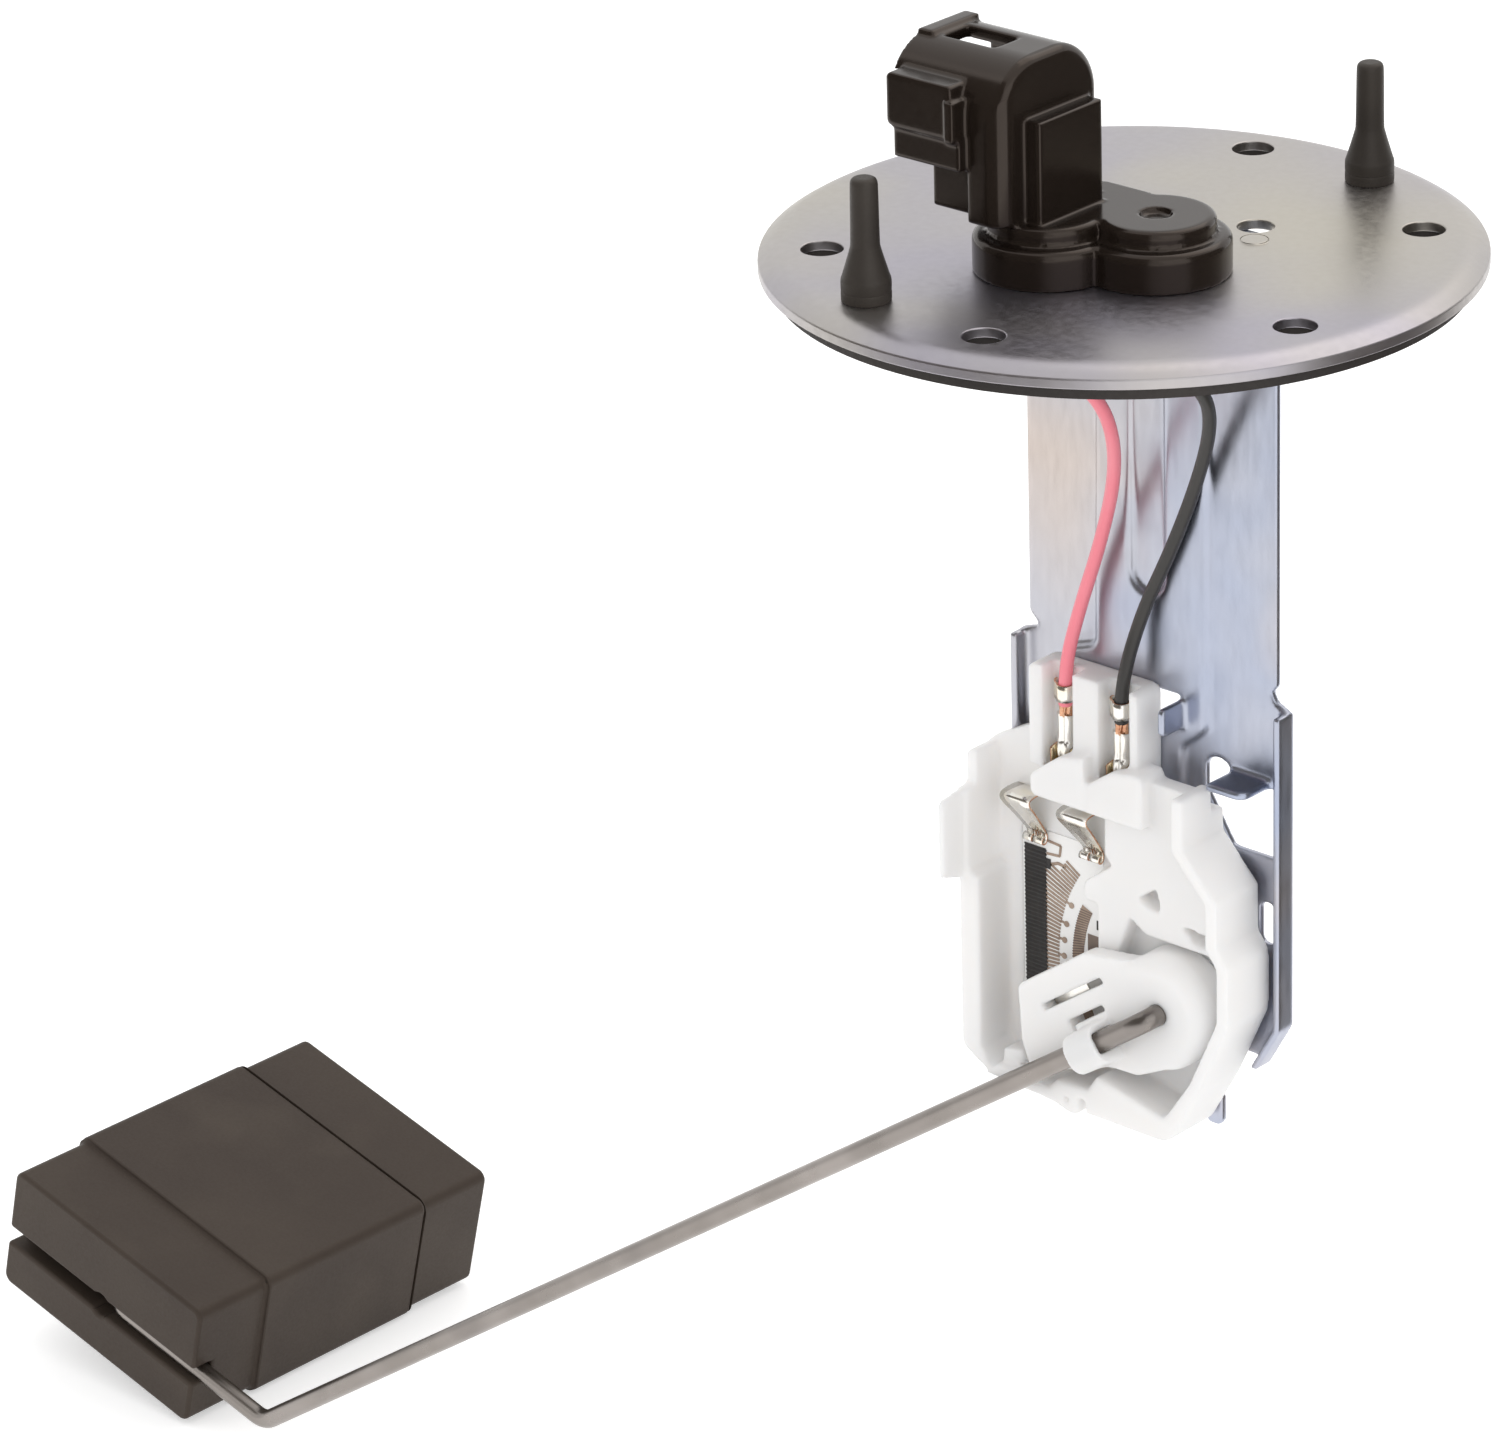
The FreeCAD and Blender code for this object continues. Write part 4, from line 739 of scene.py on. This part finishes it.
# %% [markdown]
# ## The printed card
# The sensor is a thick-film resistor on a ceramic card. A black resistive strip runs down its
# left side, and fine conductor lines leave it towards the pivot, where the wiper's contact
# touches their ends one after the other. A second, hatched track nearer the pivot takes the
# current away. The print is raised by about a tenth of a millimetre, so each line is a very
# thin bar that lies on the card, placed by its angle and its distance from the pivot.

# %% Places on the card
CARD_FACE = 1.5
SUNK = -0.02
LINE_HEIGHT = 0.10
RESISTOR_LEFT, RESISTOR_RIGHT = -18.4, -14.9
LINE_PITCH = 0.57


def from_pivot(angle, radius):
    """The place (x, z) at an angle in degrees above the line to the left, at a distance from the pivot."""
    turned = np.radians(angle)
    return np.stack([PIVOT_X - radius * np.cos(turned), PIVOT_Z + radius * np.sin(turned)], axis=-1)


def on_card(places, raised):
    """Places (x, z) become points in space that stand a height in front of the card's face."""
    level = np.broadcast_to(CARD_FACE - raised, places.shape[:-1])
    return np.stack([places[..., 0], level, places[..., 1]], axis=-1)


def bars(name, starts, ends, width, material, raised=LINE_HEIGHT, stands_for=()):
    """Thin bars on the card: each has its middle line from start to end, half its width either side."""
    starts, ends = np.asarray(starts, dtype=float), np.asarray(ends, dtype=float)
    along = (ends - starts) / np.linalg.norm(ends - starts, axis=1, keepdims=True)
    across = np.stack([-along[:, 1], along[:, 0]], axis=1) * width / 2
    outline = np.stack([starts - across, ends - across, ends + across, starts + across], axis=1)
    points = np.concatenate([on_card(outline, SUNK), on_card(outline, raised)], axis=1)
    shape = np.array([(0, 1, 2, 3), (7, 6, 5, 4), (0, 4, 5, 1), (1, 5, 6, 2), (2, 6, 7, 3), (3, 7, 4, 0)])
    faces = (np.arange(len(points))[:, None, None] * 8 + shape).reshape(-1, 4)
    piece(name, points, faces, (material,), stands_for=stands_for, smooth=False)


# %% Conductor lines
COMB_INNER, COMB_OUTER = 21.6, 24.1
comb_angle = 33.6 - 1.36 * np.arange(46)
comb_reach = (PIVOT_X - RESISTOR_RIGHT) / np.cos(np.radians(comb_angle))
comb_reach = np.where(comb_angle > 28.5, COMB_OUTER, comb_reach)
bars("comb_lines", from_pivot(comb_angle, COMB_INNER), from_pivot(comb_angle, comb_reach + 0.15), 0.3,
     track_ink, stands_for=("card_comb",))

# %% Round pads inside the comb
PAD_DISTANCE, PAD_RADIUS, PAD_HEIGHT, PAD_SIDES = 20.75, 0.42, 0.11, 20
pad_level = np.array([-93.1, -96.0, -98.4, -100.7, -103.0, -105.4])
pad_angle = np.degrees(np.arcsin((pad_level - PIVOT_Z) / PAD_DISTANCE))
bars("pad_stems", from_pivot(pad_angle, 20.9), from_pivot(pad_angle, 21.75), 0.3, track_ink)
round_pad = np.linspace(0, 2 * math.pi, PAD_SIDES, endpoint=False)
circle = np.stack([np.cos(round_pad), np.sin(round_pad)], axis=1)
ring_radius = PAD_RADIUS * np.array([0, 1, 1, 0])
ring_height = np.array([SUNK, SUNK, PAD_HEIGHT, PAD_HEIGHT])
pad_places = from_pivot(pad_angle, PAD_DISTANCE)[:, None, None] + ring_radius[:, None, None] * circle
pads = on_card(pad_places, ring_height[:, None])
pad_faces = np.arange(len(pads))[:, None, None] * 4 * PAD_SIDES + grid_faces(4, PAD_SIDES, closed=True)
piece("pad_dots", pads, pad_faces.reshape(-1, 4), (track_ink,), smooth=False)

# %% Hatched track nearer the pivot
TRACK_INNER, TRACK_OUTER, TRACK_HEIGHT = 17.5, 19.3, 0.06
CARD_RIGHT = -5.6
sweep = np.linspace(24.4, -30.0, 64)
section = ((TRACK_INNER, SUNK), (TRACK_INNER, TRACK_HEIGHT), (TRACK_OUTER, TRACK_HEIGHT), (TRACK_OUTER, SUNK))
track = np.stack([on_card(from_pivot(sweep, radius), raised) for radius, raised in section], axis=1)
track = track[track[:, 0, 0] < CARD_RIGHT]
piece("inner_track", track, grid_faces(len(track), 4, closed=True), (track_ink,), stands_for=("card_ring",))
hatch_angle = np.arange(24.0, -22.0, -1.15)
hatch_start, hatch_end = from_pivot(hatch_angle, TRACK_INNER), from_pivot(hatch_angle - 1.9, 19.35)
shown_hatch = hatch_start[:, 0] < CARD_RIGHT - 0.2
bars("inner_hatch", hatch_start[shown_hatch], hatch_end[shown_hatch], 0.13, dark_track)

# %% Traces and pads beside the tracks
loop_line = np.array([(-14.9, -84.9), (-12.4, -85.1), (-12.6, -86.6), (-14.8, -86.8)])
link_line = np.array([(-14.2, -88.2), (-12.9, -87.7), (-11.6, -87.9)])
bars("trace_loop", loop_line[:-1], loop_line[1:], 0.34, track_ink)
bars("trace_link", link_line[:-1], link_line[1:], 0.4, track_ink)
bars("resistor_lip", [(-14.95, -87.5)], [(-14.95, -88.9)], 1.6, resistor_ink, raised=0.16)
bars("square_pad", [(-7.0, -96.3)], [(-7.0, -98.7)], 2.0, dark_track)
bars("short_dash", [(-6.3, -94.0)], [(-6.3, -95.3)], 0.4, resistor_ink)

# %% [markdown]
# The resistor was printed over the ends of the comb, so its edges and its face rise and fall
# with the pitch of the lines. Its section is a flat box, and a sine of the height moves the
# two edges and the face.

# %% Black resistor with wavy edges
RESISTOR_ROWS = 360
strip_level = np.linspace(-111.6, -86.2, RESISTOR_ROWS)
wave = 0.10 * np.sin(2 * math.pi * strip_level / LINE_PITCH)
strip_height = 0.2 + 0.4 * wave
strip_sides = ((RESISTOR_LEFT, SUNK), (RESISTOR_LEFT, strip_height),
               (RESISTOR_RIGHT, strip_height), (RESISTOR_RIGHT, SUNK))
strip = np.stack([on_card(np.stack([edge + wave, strip_level], axis=-1), raised)
                  for edge, raised in strip_sides], axis=1)
end = 4 * RESISTOR_ROWS - 1
strip_ends = [(0, 1, 2, 3), (end, end - 1, end - 2, end - 3)]
piece("resistor_strip", strip, np.concatenate([grid_faces(RESISTOR_ROWS, 4, closed=True), strip_ends]),
      (resistor_ink,), stands_for=("card_resistor",))

# %% [markdown]
# ## Spring clips on the card
# Two tinned strips come out from under the noses, roll forward and go back to the card, where
# each ends in two narrow curled feet. A strip is a line in the side view, carried across its
# width, and the width narrows towards the feet. Cut edges of tinned sheet show the bare
# copper alloy, so the rim of each strip has a finish of its own.

# %% Clips
CLIP_SHEET = 0.24
CLIP_WIDTH, CLIP_NARROWING = 4.9, 1.6
HALF_SLIT = 0.2


def ribbon(name, line, low_x, high_x, stands_for=()):
    """A strip: each point (y, z) of its line is carried from x low to x high, which change along it."""
    spots = np.linspace(0, 1, 4)
    x = low_x[:, None] + (high_x - low_x)[:, None] * spots
    points = np.stack([x, line[:, :1] + 0 * x, line[:, 1:] + 0 * x], axis=-1)
    strip_piece = piece(name, points, grid_faces(len(line), 4), (tinned, copper),
                        stands_for=stands_for, solid=False)
    sheet_wall(strip_piece, CLIP_SHEET)


clip_line = rounded([(1.6, -77.9), (-0.2, -77.75), (-1.6, -77.8), (-2.45, -78.1), (-2.3, -78.9),
                     (-1.6, -79.7), (0.55, -82.9), (1.25, -84.2), (0.9, -85.2), (0.1, -85.0),
                     (0.15, -84.3), (0.7, -84.2)], rounds=3)
travelled = np.concatenate([[0], np.cumsum(np.linalg.norm(np.diff(clip_line, axis=0), axis=1))])
travelled /= travelled[-1]
clip_width = CLIP_WIDTH - CLIP_NARROWING * np.clip((travelled - 0.42) / 0.33, 0, 1)
blade, foot_part = travelled < 0.76, travelled > 0.74
for side, right_x in (("left", -14.38), ("right", -4.95)):
    low_x, high_x = right_x - clip_width, right_x + 0 * clip_width
    split = (low_x + high_x) / 2
    ribbon(f"clip_{side}", clip_line[blade], low_x[blade], high_x[blade], (f"contact_clip_{side}",))
    ribbon(f"foot_{side}_outer", clip_line[foot_part], low_x[foot_part], split[foot_part] - HALF_SLIT)
    ribbon(f"foot_{side}_inner", clip_line[foot_part], split[foot_part] + HALF_SLIT, high_x[foot_part])

# %% [markdown]
# ## Crimped terminals
# At the end of each lead the insulation is held by a tinned band, and below it the bare
# strands go into a crimped barrel whose front has the crease that the crimping tool leaves.
# The barrel is a tube whose radius dips at the front and bells out at both ends. The bundle
# of strands is one tube whose radius ripples seven times round and twists along its length.
# Under the barrel a second crimp and the open heel of the contact go behind the noses.

# %% Parts of a terminal
RING_COUNT = 56
RING = np.linspace(0, 2 * math.pi, RING_COUNT, endpoint=False)
FRONT = 1.5 * math.pi
front_dip = np.exp(-((RING - FRONT) / 0.32) ** 2)


def tube(name, levels, radius_x, radius_y, middle, material, stands_for=()):
    """A closed tube along Z: each row is a ring of (x, y) radii at its level, shut by a pole at each end."""
    rows = len(levels)
    shape = (rows, RING_COUNT)
    points = np.stack([middle[0] + np.broadcast_to(radius_x, shape) * np.cos(RING),
                       middle[1] + np.broadcast_to(radius_y, shape) * np.sin(RING),
                       np.broadcast_to(levels[:, None], shape)], axis=-1)
    top, bottom = points[:1].mean(axis=1, keepdims=True), points[-1:].mean(axis=1, keepdims=True)
    points = np.concatenate([np.repeat(top, RING_COUNT, axis=1), points,
                             np.repeat(bottom, RING_COUNT, axis=1)])
    piece(name, points, grid_faces(rows + 2, RING_COUNT, closed=True), (material,), stands_for=stands_for)


def barrel(name, middle):
    """The barrel's radii grow by the sixth power of the way to its ends, and dip at its front."""
    depth = np.linspace(0, 1, 24)
    bell = 1 + 0.16 * (2 * depth[:, None] - 1) ** 6
    tube(f"barrel_{name}", -65.3 - 3.9 * depth, 1.12 * bell * (1 - 0.10 * front_dip),
         0.82 * bell * (1 - 0.40 * front_dip), middle, tinned, (f"terminal_{name}",))


def sleeve(name, middle, material):
    """The end of the insulation, squeezed a little where the band holds it."""
    levels = np.array([-61.0, -62.0, -63.2, -64.0, -64.2])
    radius = np.array([0.88, 0.88, 0.86, 0.92, 0.80])[:, None]
    tube(f"sleeve_{name}", levels, radius, radius, middle, material)


def strands(name, middle):
    """The bundle's radius is a cosine of seven times the angle, turned further with every step down."""
    levels = np.linspace(-64.1, -65.6, 16)
    twist = 7 * RING - 1.6 * (levels[:, None] + 64)
    radius = 0.72 * (1 + 0.20 * np.cos(twist))
    tube(f"strands_{name}", levels, radius, radius, middle, copper)


def band(name, middle):
    """The band goes round the insulation, and its first end stands off to the side by a power law."""
    lap = np.radians(np.linspace(-215, 62, RING_COUNT))
    radius = 1.04 + 1.15 * np.clip((np.radians(-150) - lap) / 0.8, 0, 1) ** 1.2
    levels = np.linspace(-61.2, -63.5, 4)[:, None]
    points = np.stack([middle[0] + radius * np.cos(lap) + 0 * levels,
                       middle[1] + radius * np.sin(lap) + 0 * levels, levels + 0 * lap], axis=-1)
    sheet_wall(piece(f"band_{name}", points, grid_faces(4, RING_COUNT), (tinned, copper), solid=False), 0.28)


def lower_crimp(name, middle):
    """A short tube whose radii swell with a power of the sine of the way along it."""
    way = np.linspace(0, 1, 16)
    bulge = (0.86 + 0.30 * np.sin(math.pi * way) ** 0.7)[:, None]
    tube(f"crimp_{name}", -69.1 - 2.6 * way, 1.12 * bulge * (1 - 0.16 * front_dip),
         0.95 * bulge * (1 - 0.22 * front_dip), middle, tinned)


def heel(name, middle):
    """An open channel of sheet: its two wings rise in proportion to the distance from its flat floor."""
    levels = np.linspace(-68.9, -73.4, 18)
    grown = np.clip((-69.3 - levels) / 0.9, 0, 1)[:, None]
    across = np.array([-1.0, -0.75, -0.5, -0.25, 0.25, 0.5, 0.75, 1.0])
    lift = np.clip((np.abs(across) - 0.25) / 0.75, 0, 1)
    floor_half = np.clip(np.abs(across) / 0.25, 0, 1) * 1.15
    x = middle[0] + np.sign(across) * (floor_half + 0.6 * lift * grown)
    y = 0.95 - 1.7 * lift * grown
    points = np.stack([x, y, levels[:, None] + 0 * x], axis=-1)
    sheet_wall(piece(f"heel_{name}", points, grid_faces(18, 8), (brass, copper), solid=False), 0.25)


# %% Terminals
for name, terminal_x, skin in (("red", -10.3, pink_lead), ("black", -1.1, black_lead)):
    terminal_middle = (terminal_x, 0.25)
    barrel(name, terminal_middle)
    sleeve(name, terminal_middle, skin)
    strands(name, terminal_middle)
    band(name, terminal_middle)
    lower_crimp(name, terminal_middle)
    heel(name, terminal_middle)

# %% [markdown]
# ## The two leads
# Each lead is a soft wire, crimped at one end and fixed to a post at the other. A NURBS
# curve with few control points bends as such a wire does, and a round bevel gives it its
# thickness. The control points are those of the CAD route.

# %% Leads
LEAD_RADIUS = 0.88
lead_routes = {
    "lead_red": (pink_lead, [
        (-0.9, -13.2, -4.5), (-0.9, -13.2, -10.7), (2.8, -9.2, -15.6), (1.7, -4.4, -22.0),
        (-1.4, -0.2, -30.7), (-5.4, 1.6, -41.1), (-8.8, 1.5, -50.7), (-10.3, 0.25, -58.6),
        (-10.3, 0.25, -62.2)]),
    "lead_black": (black_lead, [
        (10.2, -6.1, -4.5), (10.2, -6.1, -10.7), (14.1, -1.9, -14.6), (12.7, 1.5, -20.6),
        (9.5, 2.75, -29.1), (5.3, 2.7, -39.4), (0.6, 2.4, -49.2), (-1.1, 0.25, -58.6),
        (-1.1, 0.25, -62.2)]),
}
for name, (material, points) in lead_routes.items():
    curve = bpy.data.curves.new(name + "_wire", "CURVE")
    curve.dimensions = "3D"
    spline = curve.splines.new("NURBS")
    spline.points.add(len(points) - 1)
    for point, spot in zip(spline.points, points):
        point.co = (*(np.array(spot) * MM), 1)
    spline.order_u = 3
    spline.use_endpoint_u = True
    spline.resolution_u = 12
    curve.bevel_depth = LEAD_RADIUS * MM
    curve.bevel_resolution = 6
    curve.use_fill_caps = True
    curve.materials.append(material)
    wire = bpy.data.objects.new(name + "_wire", curve)
    bpy.context.scene.collection.objects.link(wire)
    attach(wire, "sender")
    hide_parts(name)
print("leads:", list(lead_routes))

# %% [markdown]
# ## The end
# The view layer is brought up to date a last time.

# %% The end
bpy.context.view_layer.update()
